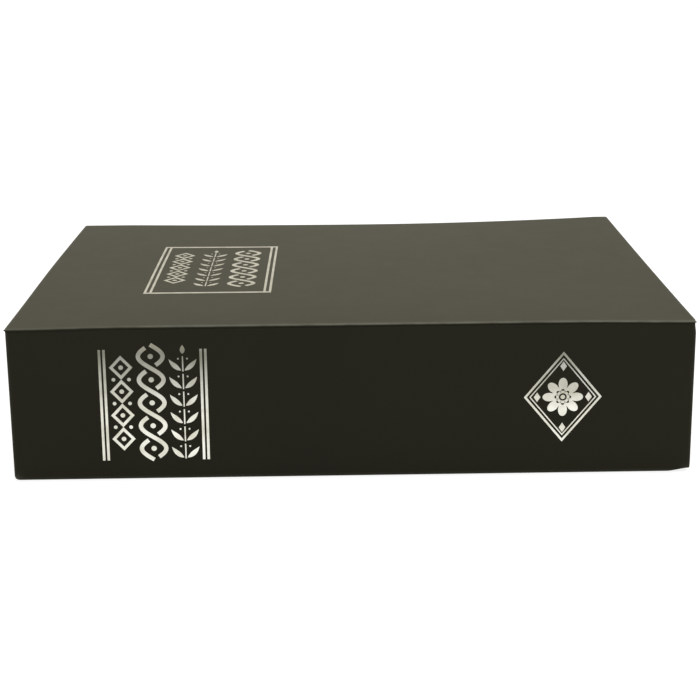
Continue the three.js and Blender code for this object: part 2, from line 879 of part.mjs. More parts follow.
const bookSafe = group([0, 0, 0], [
  bookCase,
  steelBox,
  hinge,
  piece('lid_panel', lidPanel(), 'blackSteel'),
  lock,
  frontCover,
]);

export default bookSafe;
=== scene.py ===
# Book diversion safe: the looks of its case, page edges, steel box, hinge and lock
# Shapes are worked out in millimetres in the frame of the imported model, and set down in metres.

import math
from types import SimpleNamespace

import bmesh
import bpy
import numpy as np
from mathutils import Matrix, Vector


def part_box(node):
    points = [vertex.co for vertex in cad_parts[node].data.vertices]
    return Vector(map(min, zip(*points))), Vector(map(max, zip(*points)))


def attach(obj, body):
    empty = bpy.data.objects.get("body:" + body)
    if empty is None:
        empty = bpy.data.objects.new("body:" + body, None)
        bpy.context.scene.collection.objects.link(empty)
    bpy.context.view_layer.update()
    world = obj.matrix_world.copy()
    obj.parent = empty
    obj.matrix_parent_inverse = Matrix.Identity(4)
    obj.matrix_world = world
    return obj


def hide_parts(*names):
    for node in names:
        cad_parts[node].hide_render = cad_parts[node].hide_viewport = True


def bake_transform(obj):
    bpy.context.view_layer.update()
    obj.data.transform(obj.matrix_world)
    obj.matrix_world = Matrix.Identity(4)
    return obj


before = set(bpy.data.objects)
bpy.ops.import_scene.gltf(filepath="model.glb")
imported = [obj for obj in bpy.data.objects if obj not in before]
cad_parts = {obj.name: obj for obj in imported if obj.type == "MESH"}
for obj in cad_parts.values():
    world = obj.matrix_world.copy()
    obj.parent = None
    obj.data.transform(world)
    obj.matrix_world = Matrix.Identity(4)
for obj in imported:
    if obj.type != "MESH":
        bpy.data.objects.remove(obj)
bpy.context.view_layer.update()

MM = 0.001

# The gap or overlap in millimetres that keeps two faces out of one plane
HAIR = 0.02


# Sizes taken from the frame, in millimetres

def extent(node):
    """Lowest and highest x, y and z of a node at rest."""
    low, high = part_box(node)
    return SimpleNamespace(
        x0=low[0] / MM, y0=low[1] / MM, z0=low[2] / MM,
        x1=high[0] / MM, y1=high[1] / MM, z1=high[2] / MM,
    )


FRONT_WRAP = extent("front_cover_wrap")
FRONT_BOARD = extent("front_cover_board")
FRONT_PASTEDOWN = extent("front_pastedown")
BACK_WRAP = extent("spine_and_back_wrap")
BACK_BOARD = extent("back_cover_board")
SPINE_BOARD = extent("spine_board")
LINER = extent("hinge_liner")
TRAY = extent("safe_box")
RIM = extent("rim_frame")
LID = extent("lid_panel")
BOX_LEAF = extent("box_hinge_leaf")
LID_LEAF = extent("lid_hinge_leaf")
PIN = extent("hinge_pin")
HOUSING = extent("lock_housing")
NUT = extent("lock_nut")
SPRING_WASHER = extent("lock_spring_washer")
PLUG = extent("lock_plug")
CAM = extent("lock_cam")
CAM_WASHER = extent("cam_washer")
SCREW = extent("cam_screw")

END_X = BACK_WRAP.x1
CREASE_Y = BACK_WRAP.y0
FORE_Y = BACK_WRAP.y1
TOP_Z = FRONT_WRAP.z1
SHEET = FRONT_WRAP.z1 - FRONT_BOARD.z1
BOARD = FRONT_BOARD.z1 - FRONT_BOARD.z0
COVER_DEPTH = BOARD + 2 * SHEET
BOARD_SPINE_Y = FRONT_BOARD.y0
SPINE_TOP_Z = SPINE_BOARD.z1

# Covering, and the cloth of the joint
CORNER_RADIUS = 1.2
EDGE_RADIUS = 0.6
TURN_IN = 15.0
COVERING_WALL = SHEET * 0.92
ENDPAPER_WALL = SHEET * 0.9
SPINE_SET_BACK = 0.4
CREASE_RADIUS = 0.3
CREASE_DEPTH = 0.32
FLAP_DEPTH = 0.58
FLAP_SET_BACK = 0.03
FLAP_FADE = 2.0
FOLD_WALL = 0.2
FOLD_TUCK = 0.22
SPINE_CLOTH = 0.11
COVER_CLOTH = 0.13
CLOTH_SET_BACK = 0.45
CLOTH_INSIDE = 8.0
CLOTH_AT_ENDS = 1.0

# What age has done: the warp, bend and flared corners of the front cover, the bulge along the crease, the
# lean and pinch of the spine's ends, and the knocks on its lower corners
WARP_LIFT_HEAD = 0.83
WARP_LIFT_TAIL = 2.35
WARP_MIDDLE_X = 8.0
WARP_HALF_SPAN = 106.0
WARP_GROWTH = 1.5
BEND_CORNER = 0.98
BEND_MIDDLE = 0.23
FLARE = 0.42
FLARE_LENGTH = 1.5
BULGE = 0.5
BULGE_FADE_X = 45.0
BULGE_FADE_Y = 75.0
BULGE_DEPTH = 8.0
LEAN_HEAD = (0.17, -0.58, 0.0)
LEAN_TAIL = (0.57, -0.40, -0.43)
LEAN_DEPTH = 4.0
PINCH_START = 0.93
CRUSH_SHIFT = (0.0, 0.3, 1.0)
CRUSH_REACH = (8.5, 8.0, 4.0)
RUB_SHIFT = (0.28, 0.21, 0.28)
RUB_REACH = (1.8, 3.0, 1.8)

# Sheet steel
STEEL = 1.0
INSIDE_BEND = 0.8
OUTSIDE_BEND = INSIDE_BEND + STEEL
TRAY_CORNER = 3.0
OPENING_CORNER = 6.0
LEDGE = 3.0
FLANGE = 7.0
SHEET_EDGE = 0.12
LID_GAP = 0.6
SKIRT_HEIGHT = 8.0
SKIRT_GAP = 0.1
SKIRT_START = 3.2

# Piano hinge
KNUCKLES = 11
KNUCKLE_GAP = 0.4
LEAF = 0.8
KNUCKLE_RADIUS = 2.0
ROLL_RADIUS = KNUCKLE_RADIUS - LEAF / 2
HINGE_Y = BOX_LEAF.y1 - KNUCKLE_RADIUS
HINGE_Z = (PIN.z0 + PIN.z1) / 2
WELD_RADIUS = 2.0
WELDS_X = np.linspace(-88, 88, 9)
BOX_WELDS_Z = -6.6
LID_WELDS_Y = 6.8

# Cam lock
LOCK_Y = (HOUSING.y0 + HOUSING.y1) / 2
HEAD_RADIUS = 10.0
HEAD_ROUNDING = 0.7
BARREL_RADIUS = 8.0
BARREL_FLATS = 14.0
THREAD_PITCH = 1.0
THREAD_DEPTH = 0.45
BORE = 5.3
SEAT_RADIUS = 6.5
SEAT_Z = PLUG.z1 - 1.4
RING_BORE = 8.1
NUT_HALF_WIDTH = 10.0
CAM_HUB = 8.0
CAM_LENGTH = 20.0
CAM_HALF_WIDTH = 6.0
CAM_ROUNDING = 1.8


# Meshes: a part is an array of points with blocks of faces, each block having one count of corners

def grid_faces(rows, columns, close_rows=False, close_columns=False):
    """Quads of a grid stored row by row: each joins (r, c), (r, c+1), (r+1, c+1), (r+1, c)."""
    r = np.arange(rows if close_rows else rows - 1)[:, None]
    c = np.arange(columns if close_columns else columns - 1)[None, :]
    r1, c1 = (r + 1) % rows, (c + 1) % columns
    quads = np.stack([r * columns + c, r * columns + c1, r1 * columns + c1, r1 * columns + c], -1)
    return quads.reshape(-1, 4)


def loft(rings, close_rows=False, close_columns=True):
    """A surface through rings of equal count: point (r, c) is point c of ring r."""
    points = np.stack(rings)
    rows, columns = points.shape[:2]
    return points.reshape(-1, 3), [grid_faces(rows, columns, close_rows, close_columns)]


def lid_of(ring):
    """One flat face that closes a ring."""
    return ring, [np.arange(len(ring))[None, :]]


def joined(*parts):
    """Several parts as one: the faces of each are counted on from the points before it."""
    starts = np.cumsum([0] + [len(points) for points, _ in parts])
    blocks = [block + start for (_, faces), start in zip(parts, starts) for block in faces]
    return np.concatenate([points for points, _ in parts]), blocks


def moved(part, x=0.0, y=0.0, z=0.0):
    """The part shifted by a distance along each axis."""
    return part[0] + np.array([x, y, z]), part[1]


def turned_to_x(part):
    """The part with its own axis Z laid along X: (x, y, z) goes to (z, y, -x)."""
    points = part[0]
    return np.stack([points[:, 2], points[:, 1], -points[:, 0]], 1), part[1]


def arc(centre_a, centre_b, radius, start, end, steps=8):
    """Points (centre + radius * (cos, sin)) for angles in degrees from start to end."""
    angle = np.radians(np.linspace(start, end, steps + 1))
    return np.stack([centre_a + radius * np.cos(angle), centre_b + radius * np.sin(angle)], 1)


def held(line, near=0.4):
    """A line with two more points on every long straight run, near its ends: a face that starts there
    stays flat in its shading beside a bend."""
    line = np.asarray(line, float)
    step = np.diff(line, axis=0)
    length = np.linalg.norm(step, axis=1)
    long = np.nonzero(length > 4 * near)[0]
    shift = step[long] * (near / length[long])[:, None]
    added = np.stack([line[long] + shift, line[long + 1] - shift], 1).reshape(-1, 2)
    return np.insert(line, np.repeat(long + 1, 2), added, axis=0)


def at_height(flat, z):
    """Points (x, y) set at one height."""
    return np.column_stack([flat, np.full(len(flat), z)])


def outline(half_x, y0, y1, radius, z):
    """A rounded rectangle, anticlockwise from its near right corner: arcs joined by straight sides."""
    radius = max(radius, 0.0)
    x, near, far = half_x - radius, y0 + radius, y1 - radius
    corners = (x, near, -90), (x, far, 0), (-x, far, 90), (-x, near, 180)
    arcs = [arc(*centre, radius, start, start + 90, 12) for *centre, start in corners]
    return at_height(held(np.concatenate(arcs + [arcs[0][:1]]))[:-1], z)


def open_outline(half_x, y0, y1, radius, z):
    """The same without its near side: up the right side, across the far side and down the left one."""
    radius = max(radius, 0.0)
    x, far = half_x - radius, y1 - radius
    arcs = arc(x, far, radius, 0, 90, 12), arc(-x, far, radius, 90, 180, 12)
    return at_height(held(np.concatenate([[(half_x, y0)], *arcs, [(-half_x, y0)]])), z)


def full_turn(steps):
    """Angles of one turn, evenly apart."""
    return 2 * np.pi * np.arange(steps) / steps


def ring(radius, z, angle):
    """Points (r cos a, r sin a, z). The radius and the height may change with the angle."""
    radius, z = np.broadcast_to(radius, angle.shape), np.broadcast_to(z, angle.shape)
    return np.stack([radius * np.cos(angle), radius * np.sin(angle), z], 1)


def revolved(profile, steps=64, closed=False):
    """A profile of (radius, z) turned about Z; a closed one comes back to its first point."""
    return loft([ring(radius, z, full_turn(steps)) for radius, z in profile], close_rows=closed)


def box_reach(angle, half_x, half_y):
    """How far a rectangle reaches at an angle: the lesser of half_x / |cos| and half_y / |sin|."""
    c, s = (np.maximum(np.abs(way), 1e-6) for way in (np.cos(angle), np.sin(angle)))
    return np.minimum(half_x / c, half_y / s)


def end_lids(rings):
    """Faces across the first and the last points of a row of open rings."""
    return [lid_of(np.stack([line[k] for line in rings])) for k in (0, -1)]


def open_band(rings):
    """A closed section run through open rings, with both its ends closed."""
    return [loft(rings, close_rows=True, close_columns=False), *end_lids(rings)]


def prism(section, x0, x1, steps=1):
    """A closed section in (y, z) carried along X from x0 to x1, with both ends closed."""
    section = np.array(section)
    xs = np.linspace(x0, x1, steps + 1)
    rings = [np.column_stack([np.full(len(section), x), section]) for x in xs]
    return joined(loft(rings), lid_of(rings[0]), lid_of(rings[-1]))


def block(xs, ys, zs):
    """A closed box with grid lines at the given places: six grids, one for each side."""
    def side(a, b, axis, place):
        """A grid over two axes at one place on the third."""
        first, second = np.meshgrid(a, b, indexing="ij")
        columns = [first.ravel(), second.ravel()]
        columns.insert(axis, np.full(first.size, place))
        return np.stack(columns, 1), [grid_faces(len(a), len(b))]
    return joined(
        side(ys, zs, 0, xs[0]), side(ys, zs, 0, xs[-1]),
        side(xs, zs, 1, ys[0]), side(xs, zs, 1, ys[-1]),
        side(xs, ys, 2, zs[0]), side(xs, ys, 2, zs[-1]),
    )


def merged_mesh(name, part, outward=True):
    """A mesh in metres with coinciding points merged. The faces of a closed form are turned outwards."""
    points, blocks = part
    mesh = bpy.data.meshes.new(name)
    mesh.from_pydata((points * MM).tolist(), [], [face for faces in blocks for face in faces.tolist()])
    work = bmesh.new()
    work.from_mesh(mesh)
    bmesh.ops.remove_doubles(work, verts=work.verts, dist=1e-7)
    bmesh.ops.dissolve_degenerate(work, edges=work.edges, dist=1e-8)
    if outward:
        bmesh.ops.recalc_face_normals(work, faces=work.faces)
    work.to_mesh(mesh)
    work.free()
    return mesh


def piece(name, part, look, body, *replaces, sharp=32.0, outward=True, blend=None, thickness=0.0,
          wear_and_highlight=None):
    """Makes a piece of a part and hangs it on its body. Its shading is smooth below the sharp angle, or
    nowhere where that is 0. An open sheet gets a thickness behind its face. The wear and highlight function
    gives each point a share from 0 to 1 of paler colour: rubbing from handling, and on the front cover's
    crease a painted highlight."""
    material, slot = look
    mesh = merged_mesh(name, part, outward)
    mesh.materials.append(material)
    if sharp:
        mesh.shade_smooth()
        mesh.set_sharp_from_angle(angle=math.radians(sharp))
    if wear_and_highlight:
        points = np.empty(len(mesh.vertices) * 3)
        mesh.vertices.foreach_get("co", points)
        rubbing_and_highlight = mesh.attributes.new("wear_and_highlight", "FLOAT", "POINT")
        rubbing_and_highlight.data.foreach_set("value", wear_and_highlight(points.reshape(-1, 3) / MM).astype(np.float32))
    item = bpy.data.objects.new(name, mesh)
    bpy.context.scene.collection.objects.link(item)
    if thickness:
        wall = item.modifiers.new("thickness", "SOLIDIFY")
        wall.thickness = thickness * MM
        wall.offset = -1.0
    if blend:
        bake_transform(item)
    else:
        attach(item, body)
    if replaces:
        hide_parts(*replaces)


def smooth_step(value):
    """0 below 0, 1 above 1, and 3t^2 - 2t^3 between."""
    t = np.clip(value, 0, 1)
    return t * t * (3 - 2 * t)


# Materials

NOISE_LOW, NOISE_HIGH = 0.35, 0.65


def linear(colour):
    """A hex colour such as #2b2b26 in sRGB, as linear red, green, blue and alpha."""
    channels = [int(colour[i:i + 2], 16) / 255 for i in (1, 3, 5)]
    return [c / 12.92 if c <= 0.04045 else ((c + 0.055) / 1.055) ** 2.4 for c in channels] + [1.0]


def add(tree, kind, inputs=(), **settings):
    """Adds a node: settings are its own properties, and an input takes a value or another node's socket."""
    node = tree.nodes.new(kind)
    for key, value in settings.items():
        setattr(node, key, value)
    for key, value in dict(inputs).items():
        if isinstance(value, bpy.types.NodeSocket):
            tree.links.new(value, node.inputs[key])
        else:
            node.inputs[key].default_value = value
    return node


def finish(name, tones, tone_grain, roughness, roughness_grain, depth, depth_grain, **constants):
    """A material with one Principled shader. Noise takes its colour from the first tone to the second and
    its roughness from the first value to the second, and raises it by a depth in millimetres. A grain is
    the noise's size in millimetres, one for all ways or three for x, y and z. Constants are set on the
    shader's own sockets."""
    result = bpy.data.materials.new(name)
    result.use_nodes = True
    tree = result.node_tree
    shader = tree.nodes["Principled BSDF"]
    for key, value in constants.items():
        shader.inputs[key.replace("_", " ")].default_value = value
    place = add(tree, "ShaderNodeTexCoord").outputs["Object"]
    noises = []
    for grain in (tone_grain, roughness_grain, depth_grain):
        scale = 1 / (np.broadcast_to(grain, 3) * MM)
        scaled = add(tree, "ShaderNodeMapping", {"Vector": place, "Scale": scale}).outputs[0]
        noise = add(tree, "ShaderNodeTexNoise", {"Vector": scaled, "Scale": 1.0, "Detail": 3.0})
        noises.append(noise.outputs["Fac"])
    span = {1: NOISE_LOW, 2: NOISE_HIGH}
    share = add(tree, "ShaderNodeMapRange", {0: noises[0], **span, 3: 0.0, 4: 1.0}).outputs[0]
    ends = {6: linear(tones[0]), 7: linear(tones[1])}
    colour = add(tree, "ShaderNodeMix", {0: share, **ends}, data_type="RGBA").outputs[2]
    ends = {3: roughness[0], 4: roughness[1]}
    rough = add(tree, "ShaderNodeMapRange", {0: noises[1], **span, **ends}).outputs[0]
    raised = {"Height": noises[2], "Distance": depth * MM, "Strength": 1.0}
    normal = add(tree, "ShaderNodeBump", raised).outputs["Normal"]
    tree.links.new(colour, shader.inputs["Base Color"])
    tree.links.new(rough, shader.inputs["Roughness"])
    tree.links.new(normal, shader.inputs["Normal"])
    return SimpleNamespace(
        material=result, tree=tree, shader=shader, place=place, colour=colour, normal=normal)


def covering_paper():
    """Black covering paper, coated and calendered nearly smooth: a dark satin that greys at a low angle,
    where the matting powder in its coat gives a warm sheen. Edges rubbed by handling show paler paper, and
    the same paler colour is painted along the front cover's crease as a painted highlight."""
    paper = finish(
        "coated covering paper", ("#1d1d19", "#1f1f1a"), 60, (0.465, 0.485), 9, 0.004, 0.35,
        Specular_IOR_Level=0.07, Specular_Tint=linear("#fff6cc"),
        Sheen_Weight=0.108, Sheen_Roughness=0.5, Sheen_Tint=linear("#fff095"),
    )
    tree = paper.tree
    # Paler paper mixed in by the wear attribute: real rubbing on edges and corners, and a painted highlight
    # along the crease.
    rubbing_and_highlight = add(tree, "ShaderNodeAttribute", attribute_name="wear_and_highlight").outputs["Fac"]
    grain = {"Vector": paper.place, "Scale": 1 / (5 * MM), "Detail": 4.0}
    patches = add(tree, "ShaderNodeTexNoise", grain).outputs["Fac"]
    patchy = add(tree, "ShaderNodeMapRange", {0: patches, 1: 0.3, 2: 0.6, 3: 0.45, 4: 1.0}).outputs[0]
    shown = add(tree, "ShaderNodeMath", {0: rubbing_and_highlight, 1: patchy}, operation="MULTIPLY").outputs[0]
    ends = {6: paper.colour, 7: linear("#67675d")}
    worn = add(tree, "ShaderNodeMix", {0: shown, **ends}, data_type="RGBA").outputs[2]
    tree.links.new(worn, paper.shader.inputs["Base Color"])
    return paper.material


def greyboard():
    """Grey binder's board, pressed from waste paper: dull, with pale and dark fibres in layers."""
    return finish(
        "greyboard", ("#7f776b", "#a59c8e"), (0.6, 1.8, 0.3), (0.9, 1.0), 4, 0.05, (0.6, 1.8, 0.3),
        Specular_IOR_Level=0.2,
    ).material


def endpaper():
    """Black uncoated endpaper, pasted down: matt, with a faint tooth."""
    return finish(
        "uncoated endpaper", ("#1d1c1b", "#222120"), 40, (0.76, 0.84), 3, 0.012, 0.3,
        Specular_IOR_Level=0.2,
    ).material


def bookcloth():
    """Black starched bookcloth: threads 0.45 mm apart both ways, a little coarser than real ones, so that
    they show."""
    cloth = finish(
        "starched bookcloth", ("#161615", "#232220"), 3, (0.86, 0.94), 2, 0.01, 0.2,
        Specular_IOR_Level=0.15,
    )
    tree = cloth.tree
    bands_in_a_unit = 20 / (2 * math.pi)
    scale = 1 / (0.45 * MM) / bands_in_a_unit
    threads = [
        add(tree, "ShaderNodeTexWave", {"Vector": cloth.place, "Scale": scale}, bands_direction=axis)
        for axis in ("X", "Y", "Z")
    ]
    warp, *others = [thread.outputs["Fac"] for thread in threads]
    weft = add(tree, "ShaderNodeMath", dict(enumerate(others)), operation="MULTIPLY").outputs[0]
    weave = add(tree, "ShaderNodeMath", {0: warp, 1: weft}, operation="MAXIMUM").outputs[0]
    raised = {"Height": weave, "Distance": 0.06 * MM, "Strength": 1.0, "Normal": cloth.normal}
    normal = add(tree, "ShaderNodeBump", raised).outputs["Normal"]
    tree.links.new(normal, cloth.shader.inputs["Normal"])
    return cloth.material


def moulded_pages():
    """Polypropylene moulded as page edges: cream and matt, each leaf a hair lighter or darker."""
    return finish(
        "moulded polypropylene", ("#d9ccab", "#eae0c8"), (90, 90, 0.4), (0.62, 0.76), (60, 60, 0.5),
        0.02, (50, 50, 0.35), Specular_IOR_Level=0.35,
    ).material


def powder_coat():
    """Black powder coat baked on sheet steel: satin, with a fine orange peel about 0.8 mm across."""
    return finish(
        "black powder coat", ("#191a1b", "#1d1e1f"), 60, (0.42, 0.48), 6, 0.012, 0.8,
        Specular_IOR_Level=0.45,
    ).material


def zinc_plate():
    """Bright zinc on rolled steel: pale metal with a soft grain along the rolling direction."""
    return finish(
        "zinc-plated steel", ("#b9bbbc", "#cfd1d3"), 14, (0.25, 0.38), (9, 0.3, 0.3), 0.004,
        (9, 0.3, 0.3), Metallic=1.0,
    ).material


def chrome_plate():
    """Chrome on a zinc casting, buffed: mirror bright, with hairlines from handling."""
    return finish(
        "chrome-plated casting", ("#dddfe1", "#e9ebec"), 8, (0.07, 0.15), (0.15, 4, 0.15), 0.001,
        (0.15, 4, 0.15), Metallic=1.0,
    ).material


def turned_brass():
    """Free-cutting brass turned on a lathe: yellow metal with a fine grain left by the tool."""
    return finish(
        "turned brass", ("#c6a052", "#dab768"), 4, (0.2, 0.3), 0.25, 0.003, 0.25, Metallic=1.0,
    ).material


def silver_foil():
    """Silver stamping foil pressed with a hot die: bright metal, with a painted reflection by height. Its
    colour is bright low on the spine, where the foil would mirror the nearby floor, painted grey towards the
    top of the spine, and a warm grey at the height of the front cover."""
    foil = finish(
        "silver stamping foil", ("#dddcd3", "#ffffff"), 7, (0.3, 0.4), 2, 0.003, 0.3, Metallic=0.85,
    )
    tree = foil.tree
    # Painted reflection: a colour ramp by height, bright low on the spine and grey towards its top, in place
    # of the floor the foil would mirror.
    z = add(tree, "ShaderNodeSeparateXYZ", {0: foil.place}).outputs["Z"]
    height = add(tree, "ShaderNodeMapRange", {0: z, 1: 0.0, 2: TOP_Z * MM, 3: 0.0, 4: 1.0}).outputs[0]
    ramp = add(tree, "ShaderNodeValToRGB", {0: height})
    painted_reflection_stops = ramp.color_ramp.elements
    painted_reflection_stops[0].position, painted_reflection_stops[0].color = 0.42, linear("#f6f5ea")
    painted_reflection_stops[1].position, painted_reflection_stops[1].color = 0.84, linear("#8e8e84")
    painted_reflection_stops.new(0.97).color = linear("#c3bda8")
    tones = {0: 1.0, 6: foil.colour, 7: ramp.outputs[0]}
    foil_with_painted_reflection = add(tree, "ShaderNodeMix", tones, data_type="RGBA", blend_type="MULTIPLY").outputs[2]
    tree.links.new(foil_with_painted_reflection, foil.shader.inputs["Base Color"])
    return foil.material


# Looks: each is a material with its slot in the record
LEATHERETTE = covering_paper(), "leatherette"
GREYBOARD = greyboard(), "greyboard"
ENDPAPER = endpaper(), "endpaper"
BOOKCLOTH = bookcloth(), "hinge_cloth"
PAGES = moulded_pages(), "page_plastic"
POWDER_COAT = powder_coat(), "black_steel"
ZINC = zinc_plate(), "plated_steel"
CHROME = chrome_plate(), "lock_chrome"
BRASS = turned_brass(), "lock_brass"
FOIL = silver_foil(), "lock_chrome"


# Shapes that age has given the case

def near_spine(y, reach):
    """1 at the spine's face, falling to 0 over a reach by one smooth step."""
    return smooth_step(1 - (y - CREASE_Y) / reach)


def bulge(x, y, height):
    """How far the covering stands up along the crease between its ends: a product of smooth steps, in from
    the ends of the book, away from the spine, and over the upper half of a height from 0 to 1."""
    inwards = smooth_step((END_X - np.abs(x)) / BULGE_FADE_X)
    return BULGE * inwards * near_spine(y, BULGE_FADE_Y) * smooth_step(2 * height - 1)


def cover_lift(x, y):
    """How far the front cover stands up: its bulge along the crease, and its warp, which is the lift times
    (distance from the crease / width)^1.5 times the square of the distance from the middle, and levels off
    beyond a half span."""
    along = np.clip((y - CREASE_Y) / (FORE_Y - CREASE_Y), 0, 1) ** WARP_GROWTH
    across = np.abs(x - WARP_MIDDLE_X) / WARP_HALF_SPAN
    lift = np.where(x < WARP_MIDDLE_X, WARP_LIFT_HEAD, WARP_LIFT_TAIL)
    warp = lift * along * np.where(across < 1, across ** 2, 1 + 0.25 * np.tanh(across - 1))
    return warp + bulge(x, y, 1.0)


def cover_bend(x, y):
    """How far the head edge of the front cover has gone out of straight: in at its fore corner and out by a
    little half-way. With t the share of the way to the fore-edge it is corner * t^4 - middle *
    sin(pi t)^4, times the share of the way from the middle to the head."""
    t = np.clip((y - CREASE_Y) / (FORE_Y - CREASE_Y), 0, 1)
    return np.maximum(-x, 0) / END_X * (BEND_CORNER * t ** 4 - BEND_MIDDLE * np.sin(np.pi * t) ** 4)


def warped(part):
    """A part of the front cover with its warp and its bent edge."""
    x, y, z = part[0].T
    return np.stack([x + cover_bend(x, y), y, z + cover_lift(x, y)], 1), part[1]


def lean(x, y, height):
    """How far the ends of the spine stand out of square. The shift goes evenly from a foot value to a top
    value over a height from 0 to 1, with a pinch added as one smooth step under the cover, and is that times
    x / half the length. It fades with one smooth step away from the spine."""
    foot, top, pinch = [np.where(x < 0, head, tail) for head, tail in zip(LEAN_HEAD, LEAN_TAIL)]
    out = foot + (top - foot) * height + pinch * smooth_step((height - PINCH_START) / (1 - PINCH_START))
    return x / END_X * out * near_spine(y, LEAN_DEPTH)


def knocked(part):
    """A part of the case with its lean and its bulge, its tail corner crushed up and its head corner rubbed
    round. Each knock shifts its corner, and fades as the product of one smooth step along each axis."""
    x, y, z = part[0].T
    points = part[0].copy()
    points[:, 0] += lean(x, y, z / SPINE_TOP_Z)
    points[:, 2] += bulge(x, y, z / SPINE_TOP_Z) * near_spine(y, BULGE_DEPTH)
    for side, reach, shift in ((1, CRUSH_REACH, CRUSH_SHIFT), (-1, RUB_REACH, RUB_SHIFT)):
        away = np.stack([END_X - side * x, y - CREASE_Y, z], 1)
        points += np.outer(smooth_step(1 - away / reach).prod(1), shift)
    return points, part[1]


def edge_falloff(distance, reach):
    """A share that is 1 on an edge and falls as exp(-(distance / reach)^2) away from it: rubbing from
    handling, and along the front cover's crease a painted highlight.
    """
    return np.exp(-(np.maximum(distance, 0) / reach) ** 2)


def cover_wear_and_highlight(points):
    """Rubbing of the front cover's outer edges, and of its corners in a wider spot, and a painted highlight:
    a pale line along its crease that thins out towards the head."""
    x, y, z = points.T
    x = x - lean(x, y, 1.0) - cover_bend(x, y)
    deep = edge_falloff(TOP_Z + cover_lift(x, y) - z, 0.4)
    along = 0.45 + 0.55 * smooth_step((x + 100) / 50)
    # Painted highlight along the crease, in place of the light its rounded fold catches.
    painted_crease_highlight = 0.6 * edge_falloff(y - CREASE_Y - 0.5, 1.0) * deep * along
    side, fore = END_X - np.abs(x), FORE_Y - y
    edges = 0.3 * edge_falloff(np.minimum(side, fore), 0.6)
    corners = 0.55 * edge_falloff(np.hypot(side, fore), 2.2)
    return np.maximum.reduce([painted_crease_highlight, edges, corners])


def case_wear(points):
    """Rubbing of the spine and back: the lower edges, the ends of the spine and the corners."""
    x, y, z = points.T
    x = x - lean(x, y, z / SPINE_TOP_Z)
    side, fore, back = END_X - np.abs(x), FORE_Y - y, y - CREASE_Y
    low = np.abs(z)
    bottom = 0.35 * edge_falloff(np.hypot(low, back), 0.6)
    ends = 0.22 * edge_falloff(np.hypot(side, np.minimum.reduce([back, low, fore])), 0.6)
    corners = 0.6 * edge_falloff(np.sqrt(side ** 2 + np.minimum(back, fore) ** 2 + low ** 2), 2.0)
    return np.maximum.reduce([bottom, ends, corners])


# Case of the book

def stations(first, last, fine, coarse, fine_length):
    """Places from the first end to the last, a fine distance apart near both and coarse between."""
    near = np.arange(first, first + fine_length, fine)
    middle = np.linspace(first + fine_length, last - fine_length, int((last - first) / coarse) + 1)
    return np.concatenate([near, middle, first + last - near[::-1]])


ACROSS = stations(-1.0, 1.0, 0.007, 0.05, 0.07)
DOWN_SPINE = stations(0.0, 1.0, 0.015, 0.05, 0.15)[::-1]
TO_FORE = stations(0.0, 1.0, 0.007, 0.03, 0.07)


def covering(leg_top, bend_radius, squeeze=np.ones_like):
    """The covering sheet's outer face, as (x, y, depth) with depth counted in from the cover's face.
    It starts at leg_top on the spine, turns round a bend and runs to the fore-edge. Its three edges are
    turned in: the edge profile, pairs of inset and depth, is carried round the outline, and squeeze
    shrinks it where there is no board. The face between the edges is a grid."""
    profile = [
        (TURN_IN, COVER_DEPTH), (TURN_IN / 2, COVER_DEPTH),
        *arc(EDGE_RADIUS, COVER_DEPTH - EDGE_RADIUS, EDGE_RADIUS, 90, 180, 5),
        *arc(EDGE_RADIUS, EDGE_RADIUS, EDGE_RADIUS, 180, 270, 5),
        (CORNER_RADIUS, 0.0),
    ]
    turn = np.radians(np.linspace(0, 90, 7))
    leg = bend_radius + (leg_top - bend_radius) * DOWN_SPINE

    def fold(depth, far_y):
        """Leg, bend and flat run, each set in by its depth so that the inner corner stays a mitre."""
        flat_y = CREASE_Y + bend_radius + (far_y - CREASE_Y - bend_radius) * TO_FORE
        small = squeeze(np.full_like(leg, CREASE_Y)) * depth
        middle = squeeze(np.full_like(turn, CREASE_Y)) * depth
        flat = squeeze(flat_y) * depth
        r_leg, r_turn, r_flat = (np.maximum(bend_radius - d, 0) for d in (small, middle, flat))
        y = [
            CREASE_Y + small, CREASE_Y + middle + r_turn * (1 - np.cos(turn)),
            np.maximum(flat_y, CREASE_Y + flat + r_flat),
        ]
        into = [np.maximum(leg, small + r_leg), middle + r_turn * (1 - np.sin(turn)), flat]
        return np.concatenate(y), np.concatenate(into)

    rings = []
    for inset, depth in profile:
        reach, radius = max(CORNER_RADIUS, inset), max(CORNER_RADIUS - inset, 0.0)
        y, into = fold(depth, FORE_Y - reach)
        head = np.stack([inset * squeeze(y) - END_X, y, into], 1)
        bend = at_height(arc(reach - END_X, FORE_Y - reach, radius, 180, 90, 6), depth)
        fore = np.full((len(ACROSS), 3), (0.0, FORE_Y - inset, depth))
        fore[:, 0] = (END_X - reach) * ACROSS
        mirror = np.array([-1, 1, 1])
        rings.append(np.concatenate([head, bend, fore, bend[::-1] * mirror, head[::-1] * mirror]))
    edges = loft(rings, close_columns=False)

    y, into = fold(0.0, FORE_Y - CORNER_RADIUS)
    x = (END_X - CORNER_RADIUS * squeeze(y))[:, None] * ACROSS
    face = np.stack(np.broadcast_arrays(x, y[:, None], into[:, None]), 2)
    return joined(edges, loft(face, close_columns=False))


def back_covering():
    """Covering of the spine and back cover: depth counts up from the underside."""
    return knocked(covering(SPINE_TOP_Z - SPINE_SET_BACK, EDGE_RADIUS))


